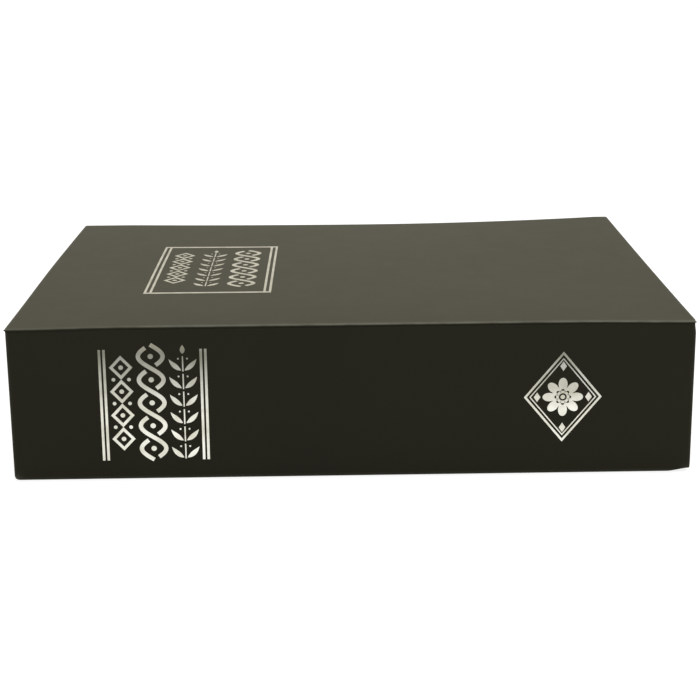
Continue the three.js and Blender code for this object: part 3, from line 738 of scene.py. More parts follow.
def front_covering():
    """Covering of the front cover: depth counts down from its top, and it thins to a flap at the crease.
    The flap's corners flare out by a product of two smooth steps, as the photograph shows, and its edge is
    set back by one smooth step, so that it clears the spine when the cover is open."""
    thin = FLAP_DEPTH / COVER_DEPTH

    def squeeze(y):
        """All of the depth from the board on, and only the flap's share 1 mm before it: a smooth step."""
        return thin + (1 - thin) * smooth_step(y - BOARD_SPINE_Y + 1.0)

    points, faces = covering(CREASE_DEPTH, CREASE_RADIUS, squeeze)
    x, y, depth = points.T
    flare = near_spine(y, FLARE_LENGTH) * smooth_step(1 - (END_X - np.abs(x)) / FLARE_LENGTH)
    out = FLARE * np.sign(x) * flare + lean(x, y, 1.0)
    set_back = FLAP_SET_BACK * near_spine(y, FLAP_FADE)
    return warped((np.stack([x + out, y + set_back, TOP_Z - depth], 1), faces))


def pastedown():
    """Endpaper inside the front cover, dipping by the thickness of a turn-in between the turn-ins.
    Its depth is one smooth step in from each side of the window."""
    place = FRONT_PASTEDOWN
    window_x, window_y, ramp = END_X - TURN_IN, FORE_Y - TURN_IN, 0.9
    slope = ramp * np.linspace(0, 1, 6)
    xs, ys = np.linspace(place.x0, place.x1, 41), np.linspace(place.y0, place.y1, 31)
    xs = np.unique(np.concatenate([xs, window_x - slope, slope - window_x]))
    ys = np.unique(np.concatenate([ys, window_y - slope]))
    x, y = np.meshgrid(xs, ys, indexing="ij")
    inside = smooth_step((window_x - np.abs(x)) / ramp) * smooth_step((window_y - y) / ramp)
    z = place.z0 + SHEET * inside
    under, over = (np.stack([x, y, level], -1).reshape(-1, 3) for level in (z, z + ENDPAPER_WALL))
    index = np.arange(x.size).reshape(x.shape)
    rim = np.concatenate([index[0], index[1:, -1], index[-1, -2::-1], index[-2:0:-1, 0]])
    faces = [grid_faces(*x.shape)]
    return warped(joined((under, faces), (over, faces), loft([under[rim], over[rim]])))


def hinge_fold():
    """The covering where it turns at the crease: tucked in over the top of the spine, and out again to the
    cover. Its outer face is set back from the crease by tuck * (1 - height)^0.7."""
    height = np.linspace(0, 1, 9)
    low, high = SPINE_TOP_Z - 0.5, TOP_Z - CREASE_DEPTH + 0.1
    back = CREASE_Y + HAIR + FOLD_TUCK * (1 - height) ** 0.7
    outer = np.stack([back, low + height * (high - low)], 1)
    inner = outer[::-1] + np.array([FOLD_WALL, 0.0])
    points, faces = prism(np.concatenate([outer, inner]), -END_X + 0.05, END_X - 0.05, 48)
    x, y, z = points.T
    return np.stack([x + lean(x, y, 1.0), y, z + bulge(x, y, 1.0)], 1), faces


def cloth_on_spine():
    """Cloth pasted up the inside of the spine board, over its top edge and a little way down its ends."""
    front_y, inner_y, under = CREASE_Y + CLOTH_SET_BACK, SPINE_BOARD.y1 + HAIR, SPINE_TOP_Z + HAIR
    outer_y, over, foot = inner_y + SPINE_CLOTH, under + SPINE_CLOTH, under - CLOTH_INSIDE
    strip = [
        (inner_y, foot), (inner_y, under), (front_y, under), (front_y, over),
        (inner_y + SPINE_CLOTH / 2, over), (outer_y, under + SPINE_CLOTH / 2), (outer_y, foot),
    ]
    low = under - CLOTH_AT_ENDS
    end = [(front_y, low), (inner_y, low), (inner_y, over), (front_y, over)]
    head, tail = SPINE_BOARD.x0, SPINE_BOARD.x1
    return knocked(joined(
        prism(strip, head, tail, 24),
        prism(end, head - SPINE_CLOTH, head), prism(end, tail, tail + SPINE_CLOTH),
    ))


def cloth_on_cover():
    """Cloth pasted under the flap of the covering and down the edge of the front board."""
    front_y, board_y, inner_y = CREASE_Y + CLOTH_SET_BACK, BOARD_SPINE_Y, BOARD_SPINE_Y - COVER_CLOTH
    over, under, foot = TOP_Z - SHEET, TOP_Z - SHEET - COVER_CLOTH, FRONT_PASTEDOWN.z0 + 0.1
    strip = [
        (front_y, over), (board_y, over), (board_y, foot),
        (inner_y, foot), (inner_y, under), (front_y, under),
    ]
    return warped(prism(strip, LINER.x0, LINER.x1, 24))


def board_lines(low, high):
    """Grid lines through a board, close together near both ends."""
    return stations(low, high, 1.0, 8.0, 8.0)


def cover_board(board, levels):
    """A board with its fore corners cut back: a point beyond the arc moves to centre + radius * way."""
    points, faces = block(board_lines(board.x0, board.x1), board_lines(board.y0, board.y1), levels)
    radius = CORNER_RADIUS - SHEET
    side = np.sign(points[:, 0])
    centre = np.stack([side * (board.x1 - radius), np.full_like(side, board.y1 - radius)], 1)
    away = points[:, :2] - centre
    beyond = (away[:, 0] * side > 0) & (away[:, 1] > 0)
    reach = np.maximum(np.linalg.norm(away, axis=1, keepdims=True), radius)
    points[:, :2] = np.where(beyond[:, None], centre + away * radius / reach, points[:, :2])
    return points, faces


def make_case():
    """Boards, coverings, endpaper and cloth, and the fold across the crease, which hangs on neither body."""
    front = cover_board(FRONT_BOARD, np.array([FRONT_BOARD.z0, FRONT_BOARD.z1]))
    back = cover_board(BACK_BOARD, np.linspace(BACK_BOARD.z0, BACK_BOARD.z1, 4))
    spine = block(
        board_lines(SPINE_BOARD.x0, SPINE_BOARD.x1), np.linspace(SPINE_BOARD.y0, SPINE_BOARD.y1, 4),
        stations(SPINE_BOARD.z0, SPINE_BOARD.z1, 0.7, 6.0, 4.0),
    )
    piece("front_cover_greyboard", warped(front), GREYBOARD, "front_cover", "front_cover_board")
    piece("back_cover_greyboard", knocked(back), GREYBOARD, "case", "back_cover_board")
    piece("spine_greyboard", knocked(spine), GREYBOARD, "case", "spine_board")
    piece(
        "front_covering", front_covering(), LEATHERETTE, "front_cover", "front_cover_wrap",
        thickness=COVERING_WALL, wear_and_highlight=cover_wear_and_highlight,
    )
    piece(
        "spine_and_back_covering", back_covering(), LEATHERETTE, "case", "spine_and_back_wrap",
        thickness=COVERING_WALL, wear_and_highlight=case_wear,
    )
    piece("front_endpaper", pastedown(), ENDPAPER, "front_cover", "front_pastedown")
    piece("hinge_cloth_on_cover", cloth_on_cover(), BOOKCLOTH, "front_cover", "hinge_liner")
    piece("hinge_cloth_on_spine", cloth_on_spine(), BOOKCLOTH, "case")
    ends = [(0, CREASE_Y * MM, z * MM) for z in (SPINE_TOP_Z - HAIR, TOP_Z - CREASE_DEPTH + HAIR)]
    piece("crease_fold", hinge_fold(), LEATHERETTE, ("case", "front_cover"), blend=ends)


# Moulded page edges

LEAF_PITCH = 0.55
LEAF_GROOVE = 0.22
LEAF_MARGIN = 0.4
PAGE_WALL = 1.5
PAGE_BEVEL = 0.15
MITRE_GAP = 0.03
MITRE_REACH = 24.0


def page_strip(length, depth, z0, z1, start_mitred):
    """A channel along u whose outer face is grooved into leaves: out = depth - groove * wave(z + sway(u)).
    Points are (out, u, z). A mitred end slopes back by the distance from the outer face, and the slope
    fades to nothing along the strip. The far end is always mitred."""
    height = z1 - z0 - 2 * LEAF_MARGIN
    rows = 4 * int(height / LEAF_PITCH) + 1
    levels = z0 + LEAF_MARGIN + height * np.arange(rows) / (rows - 1)
    us = np.linspace(0, length, int(length / 2.4))
    u, z = np.meshgrid(us, levels, indexing="ij")
    leaf, part = divmod(np.arange(rows), 4)
    worn = 0.65 + 0.35 * np.sin(leaf * 2.4) * np.sin(leaf * 0.71 + 1)
    worn = worn + 0.25 * np.sin(u / 23 + leaf * 1.9)
    valley = np.array([1.0, 0.25, 0.0, 0.35])[part]
    out = depth - LEAF_GROOVE * valley * np.clip(worn, 0.25, 1.1)
    sway = 0.1 * np.sin(u / 31 + 0.4) * np.sin(u / 9 + z * 0.35)
    inside = (z > levels[0]) & (z < levels[-1])
    face = np.stack([out, u, z + sway * inside], -1)
    outer, inner = depth - PAGE_BEVEL, depth - PAGE_WALL
    back = [
        (outer, z1), (0.0, z1), (0.0, z1 - PAGE_WALL), (inner, z1 - PAGE_WALL),
        (inner, z0 + PAGE_WALL), (0.0, z0 + PAGE_WALL), (0.0, z0), (outer, z0),
    ]
    behind = np.stack([np.stack(np.broadcast_arrays(o, us, h), 1) for o, h in back], 1)
    rings = np.concatenate([face, behind], 1)
    slope = depth - rings[..., 0] + MITRE_GAP
    if start_mitred:
        rings[..., 1] += slope * np.maximum(1 - us / MITRE_REACH, 0)[:, None]
    rings[..., 1] -= slope * np.maximum(1 - (length - us) / MITRE_REACH, 0)[:, None]
    return joined(loft(rings), lid_of(rings[0]), lid_of(rings[-1]))


def make_page_edges():
    """Three channels: out, along and up go to x, y and z in the way each side faces."""
    for name in ("head", "tail", "fore"):
        place, fore = extent(f"page_edge_{name}"), name == "fore"
        sizes = place.x1 - place.x0, place.y1 - place.y0
        sizes = sizes if fore else sizes[::-1]
        points, faces = page_strip(*sizes, place.z0, place.z1, start_mitred=fore)
        out, u, z = points.T
        x, y = {
            "head": (place.x1 - out, place.y0 + u), "tail": (place.x0 + out, place.y0 + u),
            "fore": (place.x0 + u, place.y0 + out),
        }[name]
        part = np.stack([x, y, z], 1), faces
        piece(f"leaves_{name}", part, PAGES, "case", f"page_edge_{name}", sharp=50)


# Steel box

OPENING_X = TRAY.x1 - FLANGE
OPENING_FORE_Y = TRAY.y1 - FLANGE
LEDGE_TOP_Z = LID.z0 - 0.2
WALL_TOP_Z = TRAY.z1 - STEEL


def tray():
    """The tray: rounded rectangles set in and raised by a section of bend, wall, rim, wall and bend. A
    strip brings its wall at the spine up to its full height."""
    bend_z, flat, edge_z = TRAY.z0 + OUTSIDE_BEND, OUTSIDE_BEND + 0.8, WALL_TOP_Z - SHEET_EDGE
    section = held([
        (flat, TRAY.z0), *arc(OUTSIDE_BEND, bend_z, OUTSIDE_BEND, 270, 180),
        *arc(SHEET_EDGE, edge_z, SHEET_EDGE, 180, 90, 3),
        *arc(STEEL - SHEET_EDGE, edge_z, SHEET_EDGE, 90, 0, 3),
        *arc(OUTSIDE_BEND, bend_z, INSIDE_BEND, 180, 270), (flat, TRAY.z0 + STEEL),
    ])
    rings = [
        outline(TRAY.x1 - inset, TRAY.y0 + inset, TRAY.y1 - inset, TRAY_CORNER - inset, z)
        for inset, z in section
    ]
    half = TRAY.x1 - TRAY_CORNER
    spine_wall = block((-half, half), (TRAY.y0, TRAY.y0 + STEEL), (edge_z, TRAY.z1))
    return joined(loft(rings), lid_of(rings[0]), lid_of(rings[-1]), spine_wall)


def rim():
    """The frame: a section of ledge, riser and flange run round three sides, and a skirt in the walls."""
    lower, upper = LEDGE_TOP_Z + INSIDE_BEND, WALL_TOP_Z - INSIDE_BEND
    run = held([
        (-LEDGE, LEDGE_TOP_Z - STEEL + SHEET_EDGE), (-LEDGE + SHEET_EDGE, LEDGE_TOP_Z - STEEL),
        *arc(-INSIDE_BEND, lower, OUTSIDE_BEND, 270, 360),
        *arc(OUTSIDE_BEND, upper, INSIDE_BEND, 180, 90),
    ])
    back = held([
        *arc(OUTSIDE_BEND, upper, OUTSIDE_BEND, 90, 180),
        *arc(-INSIDE_BEND, lower, INSIDE_BEND, 360, 270),
        (-LEDGE + SHEET_EDGE, LEDGE_TOP_Z), (-LEDGE, LEDGE_TOP_Z - SHEET_EDGE),
    ])

    def round_opening(out, z):
        """The outline of the opening, moved out by a distance."""
        return open_outline(OPENING_X + out, RIM.y0, OPENING_FORE_Y + out, OPENING_CORNER + out, z)

    def within(inset, near_y, z):
        """The outline of the frame, moved in by a distance."""
        return open_outline(RIM.x1 - inset, near_y, RIM.y1 - inset, TRAY_CORNER - inset, z)

    beside_bend, under, over = OUTSIDE_BEND + 0.4, WALL_TOP_Z, RIM.z1
    edge = (SHEET_EDGE, under), (0, under + SHEET_EDGE), (0, over - SHEET_EDGE), (SHEET_EDGE, over)
    frame_rings = [round_opening(*place) for place in (*run, (beside_bend, under))]
    frame_rings += [within(inset, RIM.y0, z) for inset, z in edge]
    frame_rings += [round_opening(*place) for place in ((beside_bend, over), *back)]
    outside, inside, foot = STEEL + SKIRT_GAP, 2 * STEEL + SKIRT_GAP, WALL_TOP_Z - SKIRT_HEIGHT
    skirt = (outside, foot), (outside, under), (inside, under), (inside, foot)
    skirt_rings = [within(inset, RIM.y0 + SKIRT_START, z) for inset, z in skirt]
    return joined(*open_band(frame_rings), *open_band(skirt_rings))


def lid_pan():
    """The lid: lips bent down on three sides of a plate that has a hole milled flat on two sides.
    The plate joins each outline point to the hole's edge straight towards the hole's middle, with a ring
    just inside the outline that keeps the plate flat beside the bend."""
    corner, bend_z = OPENING_CORNER - LID_GAP, LID.z1 - OUTSIDE_BEND
    section = held([
        *arc(-OUTSIDE_BEND, bend_z, OUTSIDE_BEND, 90, 0),
        (0, LID.z0 + SHEET_EDGE), (-SHEET_EDGE, LID.z0),
        (-STEEL + SHEET_EDGE, LID.z0), (-STEEL, LID.z0 + SHEET_EDGE),
        *arc(-OUTSIDE_BEND, bend_z, INSIDE_BEND, 0, 90),
    ])
    rings = [open_outline(LID.x1 + out, LID.y0, LID.y1 + out, corner + out, z) for out, z in section]
    lips = loft(rings, close_columns=False)

    near = np.linspace(rings[0][-1], rings[0][0], 24)
    whole = np.concatenate([rings[0], near[1:-1]])[:, :2]
    middle = np.array([0, LOCK_Y])
    away = whole - middle
    distance = np.linalg.norm(away, axis=1)[:, None]
    way = away / distance
    half_flat = (BARREL_FLATS / 2 + 0.2) / np.maximum(np.abs(way[:, :1]), 1e-6)
    hole = middle + way * np.minimum(BARREL_RADIUS + 0.2, half_flat)
    lines = [whole, middle + way * (distance - 0.8), hole]
    over, under = ([at_height(line, z) for line in lines] for z in (LID.z1, LID.z1 - STEEL))
    edge = loft([near, near - np.array([0, 0, STEEL])], close_columns=False)
    return joined(lips, *end_lids(rings), loft(over + under[::-1]), edge)


def make_steel_box():
    """The tray with its rim, and the lid."""
    piece("folded_tray", tray(), POWDER_COAT, "case", "safe_box")
    piece("folded_rim", rim(), POWDER_COAT, "case", "rim_frame")
    piece("lid_pan", lid_pan(), POWDER_COAT, "lid", "lid_panel")


# Piano hinge

def sideways(line):
    """At each point of a line, the unit way at right angles to it, towards its left."""
    along = np.gradient(line, axis=0)
    along /= np.maximum(np.linalg.norm(along, axis=1), 1e-9)[:, None]
    return np.stack([-along[:, 1], along[:, 0]], 1)


def strip_section(line, thickness):
    """A strip's closed outline: its centre line moved out by half the thickness to each side."""
    across = sideways(line) * thickness / 2
    return np.concatenate([line + across, (line - across)[::-1]])


def curve_between(start, start_way, end, end_way):
    """A cubic from start to end that leaves and arrives along the two given ways."""
    t = np.linspace(0, 1, 9)[:, None]
    p0, p3 = np.array(start), np.array(end)
    p1, p2 = p0 + np.array(start_way), p3 - np.array(end_way)
    return (1 - t) ** 3 * p0 + 3 * (1 - t) ** 2 * t * p1 + 3 * (1 - t) * t ** 2 * p2 + t ** 3 * p3


def knuckle_spans(first):
    """The ends along X of every second knuckle, from the first."""
    pitch = (BOX_LEAF.x1 - BOX_LEAF.x0 + KNUCKLE_GAP) / KNUCKLES
    starts = BOX_LEAF.x0 + pitch * np.arange(first, KNUCKLES, 2)
    return [(start, start + pitch - KNUCKLE_GAP) for start in starts]


def welds(place):
    """A row of spot welds, each a dish 0.12 mm deep with a low rim. The place takes a weld's points, as
    across, along and out of the plate, to (y, z)."""
    profile = [(0, 0.0), (0.55, 0.01), (0.8, 0.05), (0.95, 0.12), (1, 0.02), (1, -0.05)]
    points, faces = revolved([(WELD_RADIUS * share, out) for share, out in profile], 28)
    along, across, out = points.T
    return [(np.stack([along + x, *place(across, out)], 1), faces) for x in WELDS_X]


def rolled_leaf(first, flat_line, roll, plate):
    """A leaf: a plate all along, and at every second knuckle a strip rolled round the pin."""
    (y0, y1), (z0, z1) = plate
    plate = prism([(y0, z0), (y1, z0), (y1, z1), (y0, z1)], BOX_LEAF.x0, BOX_LEAF.x1)
    section = strip_section(np.concatenate([[flat_line], roll]), LEAF * 0.99)
    return joined(plate, *[prism(section, x0, x1) for x0, x1 in knuckle_spans(first)])


def box_leaf():
    """The leaf welded inside the spine wall: up the wall, a slight set, then over the pin from the left."""
    wall = BOX_LEAF.y0 - HINGE_Y + LEAF / 2
    foot, top = BOX_LEAF.z0 - HINGE_Z, -KNUCKLE_RADIUS - 0.3
    rise = curve_between((wall, top + 0.1), (0, 0.8), (-ROLL_RADIUS, 0), (0, 0.8))
    roll = np.concatenate([rise, arc(0, 0, ROLL_RADIUS, 180, -150, 28)[1:]])
    plate = (wall - LEAF / 2, wall + LEAF / 2), (foot, top)
    leaf = rolled_leaf(0, (wall, top - 0.2), roll, plate)
    return joined(leaf, *welds(lambda across, out: (wall + LEAF / 2 + HAIR + out, BOX_WELDS_Z + across)))


def lid_leaf():
    """The leaf welded under the lid: along the underside, down to the pin's foot, then round it."""
    level = LID.z1 - STEEL - HINGE_Z - LEAF / 2
    near, far = KNUCKLE_RADIUS + 0.3, LID_LEAF.y1 - HINGE_Y
    foot = math.radians(-62)
    way = np.array([math.cos(foot), math.sin(foot)])
    way_in = (0.8 * way[1], -0.8 * way[0])
    drop = curve_between((near + 0.3, level), (-0.9, 0), ROLL_RADIUS * way, way_in)
    roll = np.concatenate([drop, arc(0, 0, ROLL_RADIUS, -62, -343, 28)[1:]])
    plate = (near, far), (level - LEAF / 2, level + LEAF / 2)
    leaf = rolled_leaf(1, (near + 0.6, level), roll, plate)
    return joined(leaf, *welds(lambda across, out: (LID_WELDS_Y + across, level - LEAF / 2 - HAIR - out)))


def pin():
    """The hinge pin: a round wire with domed ends."""
    radius, half = (PIN.z1 - PIN.z0) / 2, PIN.x1
    dome = arc(0, 0, 1, 90, 0, 6)
    end = np.stack([radius * dome[:, 0], half - 0.6 + 0.6 * dome[:, 1]], 1)
    return turned_to_x(revolved(np.concatenate([end * np.array([1, -1]), end[::-1]]), 32))


def make_hinge():
    """Two leaves and a pin, worked out about the pin's axis and moved to it."""
    for name, part, body, node in (
        ("rolled_box_leaf", box_leaf(), "case", "box_hinge_leaf"),
        ("rolled_lid_leaf", lid_leaf(), "lid", "lid_hinge_leaf"),
        ("domed_pin", pin(), "case", "hinge_pin"),
    ):
        piece(name, moved(part, 0, HINGE_Y, HINGE_Z), ZINC, body, node)


# Cam lock

def threaded_barrel(z0, z1, turn):
    """A thread milled flat on two sides: its radius falls by a triangle wave of height less turn."""
    z = np.linspace(z0, z1, int((z1 - z0) / THREAD_PITCH * 6) + 1)[:, None]
    phase = (z / THREAD_PITCH - turn / (2 * np.pi)) % 1
    reach = BARREL_RADIUS - THREAD_DEPTH * np.abs(2 * phase - 1)
    x = np.clip(reach * np.cos(turn), -BARREL_FLATS / 2, BARREL_FLATS / 2)
    return list(np.stack([x, reach * np.sin(turn), np.broadcast_to(z, x.shape)], -1))


def housing():
    """The lock's head with a soft rim round the plug, its threaded barrel below, and a bore through both."""
    base, top, turn = LID.z1, HOUSING.z1, full_turn(64)
    profile = [
        (HEAD_RADIUS, base), (HEAD_RADIUS, top - HEAD_ROUNDING - 0.05),
        *arc(HEAD_RADIUS - HEAD_ROUNDING, top - HEAD_ROUNDING, HEAD_ROUNDING, 0, 90, 6),
        (7.2, top - 0.02), (6.9, top - 0.12), (SEAT_RADIUS, top - 0.14), (SEAT_RADIUS, SEAT_Z),
        (BORE, SEAT_Z), (BORE, HOUSING.z0),
    ]
    barrel = threaded_barrel(HOUSING.z0, base - HAIR, turn)
    return loft(barrel + [ring(radius, z, turn) for radius, z in profile], close_rows=True)


def key_slot(turn):
    """How far the keyway reaches: a slot 1.8 by 7.6 mm with a ward stepping in on one side."""
    warded = (np.cos(turn) > 0) & (np.abs(np.sin(turn)) < 0.86)
    return box_reach(turn, np.where(warded, 0.35, 0.9), 3.8)


def plug():
    """The plug: face with a keyway cut into it, collar, barrel and the square that drives the cam."""
    turn = full_turn(96)
    slot, square = key_slot(turn), box_reach(turn, 3, 3)
    foot, top, drive = PLUG.z0, PLUG.z1, CAM.z1 + 0.1
    return revolved([
        (0, top - 7), (slot, top - 7), (slot, top - 0.2), (slot * 1.06 + 0.05, top - 0.05), (5.0, top),
        (6.2, top), (6.4, top - 0.2), (6.4, top - 1.3), (5.2, top - 1.3), (5.2, drive), (square, drive),
        (square, foot), (2.0, foot), (2.0, foot + 4.5), (0, foot + 4.5),
    ], 96)


def nut():
    """A hexagon nut: its faces fall off towards the corners by 0.55 of the reach beyond its flats."""
    reach = NUT_HALF_WIDTH / np.cos((full_turn(96) + np.pi / 6) % (np.pi / 3) - np.pi / 6)
    fall = 0.05 + (reach - NUT_HALF_WIDTH) * 0.55
    return revolved([
        (RING_BORE, NUT.z1), (9.9, NUT.z1), (reach, NUT.z1 - fall), (reach, NUT.z0 + fall),
        (9.9, NUT.z0), (8.6, NUT.z0), (RING_BORE, NUT.z0 + 0.5),
    ], 96, closed=True)


def spring_washer():
    """A split ring of square section that stops short of closing."""
    turn = np.radians(np.linspace(3, 357, 73))
    low, high = SPRING_WASHER.z0, SPRING_WASHER.z1
    profile = ((RING_BORE, low), (10.2, low), (10.3, low + 0.1), (10.3, high), (RING_BORE, high))
    return joined(*open_band([ring(radius, z, turn) for radius, z in profile]))


def cam():
    """The cam: a round hub run into a straight arm, stamped from plate, with a square hole. The reach at the
    rounded corners of its tip is where a ray from the hub's middle meets their circle."""
    turn = full_turn(96)
    c, s = np.cos(turn), np.sin(turn)
    u, v = CAM_LENGTH - CAM_ROUNDING, CAM_HALF_WIDTH - CAM_ROUNDING
    reach = np.maximum(CAM_HUB, np.where(c > 0, box_reach(turn, CAM_LENGTH, CAM_HALF_WIDTH), 0))
    near_tip = (c > 0) & (reach * c > u) & (np.abs(reach * s) > v)
    along = np.abs(s) * v + c * u
    rounded = along + np.sqrt(np.maximum(CAM_ROUNDING ** 2 - u ** 2 - v ** 2 + along ** 2, 0))
    reach = np.where(near_tip, np.minimum(reach, rounded), reach)
    square = box_reach(turn, 3.1, 3.1)
    return revolved([
        (square, CAM.z0), (reach - 0.25, CAM.z0), (reach, CAM.z0 + 0.25), (reach, CAM.z1 - 0.1),
        (reach - 0.1, CAM.z1), (square, CAM.z1),
    ], 96, closed=True)


def screw():
    """The cam's screw: a pan head with a cross recess that grows shallow away from its middle."""
    turn, foot, head_top = full_turn(96), SCREW.z0, CAM_WASHER.z0
    cross = np.maximum(box_reach(turn, 2.0, 0.45), box_reach(turn, 0.45, 2.0))
    return revolved([
        (0, foot + 0.9), (cross * 0.55, foot + 0.9), (cross, foot), (2.3, foot),
        *arc(2.6, foot + 1.0, 1.0, 270, 360, 6), (3.6, head_top), (1.9, head_top),
        (1.9, SCREW.z1 - 0.3), (1.6, SCREW.z1), (0, SCREW.z1),
    ], 96)


def washer():
    """The washer under the screw's head, its edges rolled over by the punch."""
    low, high = CAM_WASHER.z0, CAM_WASHER.z1
    return revolved([(2.0, low), (5.35, low), (5.5, low + 0.15), (5.5, high), (2.0, high)], closed=True)


def make_lock():
    """All parts of the lock, worked out about its axis and moved to it."""
    for name, part, look, body, node in (
        ("housing", housing(), CHROME, "lid", "lock_housing"),
        ("hexagon_nut", nut(), ZINC, "lid", "lock_nut"),
        ("split_washer", spring_washer(), ZINC, "lid", "lock_spring_washer"),
        ("keyed_plug", plug(), BRASS, "lock_plug", "lock_plug"),
        ("stamped_cam", cam(), ZINC, "lock_plug", "lock_cam"),
        ("pan_head_screw", screw(), ZINC, "lock_plug", "cam_screw"),
        ("punched_washer", washer(), ZINC, "lock_plug", "cam_washer"),
    ):
        piece(name, moved(part, 0, LOCK_Y), look, body, node)


# Foil stamping: flat figures in (u, v), where u runs from head to tail and v across

FOIL_HEIGHT = 0.05
RULE = 0.9
RULE_PITCH = 1.6


def bar(u0, u1, v0, v1, steps):
    """A straight bar, cut across its length so that it can follow a warped face."""
    along_u = u1 - u0 > v1 - v0
    us = np.linspace(u0, u1, steps + 1 if along_u else 2)
    vs = np.linspace(v0, v1, 2 if along_u else steps + 1)
    u, v = np.meshgrid(us, vs, indexing="ij")
    return np.stack([u.ravel(), v.ravel()], 1), [grid_faces(len(us), len(vs))]


def ribbon(line, width):
    """A band of even or given width along a line: the line moved out by half of it to each side."""
    across = sideways(line) * (np.broadcast_to(width, len(line)) / 2)[:, None]
    return np.stack([line + across, line - across], 1).reshape(-1, 2), [grid_faces(len(line), 2)]


def ring_figure(centre, reach, inner_share):
    """The band between a closed figure and a smaller copy of it about the same centre."""
    turn = full_turn(len(reach))
    way = np.stack([np.cos(turn), np.sin(turn)], 1) * reach[:, None]
    points = np.concatenate([centre + way, centre + way * inner_share])
    return points, [grid_faces(2, len(reach), close_columns=True)]


def disc(centre, radius):
    """A dot: its centre joined to its edge."""
    return ring_figure(centre, np.full(20, radius), 0.001)


def lozenge(centre, half_u, half_v, steps, inner_share):
    """The outline of a lozenge, as a band. Its reach is 1 / (|cos| / half_u + |sin| / half_v)."""
    turn = full_turn(steps * 4)
    reach = 1 / (np.abs(np.cos(turn)) / half_u + np.abs(np.sin(turn)) / half_v)
    return ring_figure(centre, reach, inner_share)


def lozenge_band(u0, u1, v0, v1, count):
    """A chain of open lozenges with a dot in each and a pair of dots between neighbours."""
    middle, half, pitch = (u0 + u1) / 2, (u1 - u0) / 2, (v1 - v0) / count
    parts = []
    for v in v0 + pitch * (np.arange(count) + 0.5):
        parts += [lozenge((middle, v), half, pitch / 2, 4, 0.66), disc((middle, v), half * 0.2)]
    for v in v0 + pitch * np.arange(1, count):
        parts += [disc((middle + side * half * 0.66, v), half * 0.16) for side in (-1, 1)]
    return parts


def braid_band(u0, u1, v0, v1, turns, width):
    """Two strands that swing as a sine and its mirror, each broken where it goes under the other."""
    middle, swing, pitch = (u0 + u1) / 2, (u1 - u0) / 2 - width / 2, (v1 - v0) / turns
    gap = 0.13
    parts = []
    for strand, sign in ((0, 1), (1, -1)):
        edges = np.arange(-1, turns + 2)
        under = edges[(edges % 2) == strand]
        for first, last in zip(under[:-1], under[1:]):
            start, end = max(first + gap, 0.0), min(last - gap, turns)
            if end - start >= 0.1:
                t = np.linspace(start, end, 40)
                line = np.stack([middle + sign * swing * np.sin(np.pi * t), v0 + pitch * t], 1)
                parts.append(ribbon(line, width))
    dots = v0 + pitch * (np.arange(turns) + 0.5)
    return parts + [disc((middle, v), swing * 0.22) for v in dots]


def laurel_band(u0, u1, v0, v1, pairs, width):
    """A stem with pairs of slender leaves, a berry above each leaf, and one more leaf as its tip. A leaf
    leaves the stem at a slant and bends back towards it, and its width follows a sine of its length."""
    middle, half, pitch = (u0 + u1) / 2, (u1 - u0) / 2, (v1 - v0) / (pairs + 0.55)
    share = np.linspace(0, 1, 15)
    slant = np.radians(58 - 26 * share)
    way = np.stack([np.sin(slant), np.cos(slant)], 1) * half * 1.36 / (len(share) - 1)
    curve = np.concatenate([np.zeros((1, 2)), np.cumsum(way[:-1], 0)])
    leaf_width = 0.01 + width * 2.1 * np.sin(np.pi * share ** 0.85)
    parts = []
    for v in v0 + pitch * (np.arange(pairs) + 0.12):
        for side in (-1, 1):
            root = np.array([middle + side * width * 0.75, v])
            parts.append(ribbon(root + curve * np.array([side, 1]), leaf_width))
            parts.append(disc((middle + side * half * 0.36, v + pitch * 0.66), width * 0.42))
        stem = middle - width * 0.28, middle + width * 0.28
        parts.append(bar(*stem, v - pitch * 0.06, v + pitch * 0.8, 4))
    tip = v0 + pitch * (pairs + 0.05)
    line = np.stack([np.full(len(share), middle), tip + share * (v1 - tip)], 1)
    return parts + [ribbon(line, leaf_width)]


def rosette(centre, half_u, half_v):
    """A binder's rosette: eight petals round a ring and a dot, in a double lozenge that has a small solid
    one inside each of its points. The petals reach out by |cos 4a|^0.7 at an angle a."""
    petals = half_u * 0.52 * (0.5 + 0.5 * np.abs(np.cos(4 * full_turn(96))) ** 0.7)
    points = np.array([(1, 0), (0, 1), (-1, 0), (0, -1)]) * (half_u * 0.66, half_v * 0.68)
    return [
        lozenge(centre, half_u, half_v, 8, 0.93),
        lozenge(centre, half_u * 0.86, half_v * 0.86, 8, 0.955),
        ring_figure(centre, petals, 0.42),
        ring_figure(centre, np.full(48, half_u * 0.17), 0.6),
        disc(centre, half_u * 0.06),
        *[lozenge(centre + point, half_u * 0.085, half_u * 0.13, 3, 0.01) for point in points],
    ]


def facing(part, towards):
    """Turns each block of quads over if, on the whole, it looks away from a direction."""
    points, blocks = part
    turned = []
    for faces in blocks:
        corners = points[faces]
        area = np.cross(corners[:, 2] - corners[:, 0], corners[:, 3] - corners[:, 1]).sum(0)
        turned.append(faces[:, ::-1] if area @ np.array(towards) < 0 else faces)
    return points, turned


def on_spine(u, v):
    """The spine's face: u along it from the head, v its height, with the lean of its ends."""
    x, y = u - END_X, np.full_like(u, CREASE_Y)
    return np.stack([x + lean(x, y, v / SPINE_TOP_Z), y - FOIL_HEIGHT, v], 1)


def on_cover(u, v):
    """The front cover's face: u from the head, v from the crease, with the cover's bend and warp."""
    x, y = u - END_X, v + CREASE_Y
    return np.stack([x + cover_bend(x, y), y, TOP_Z + FOIL_HEIGHT + cover_lift(x, y)], 1)


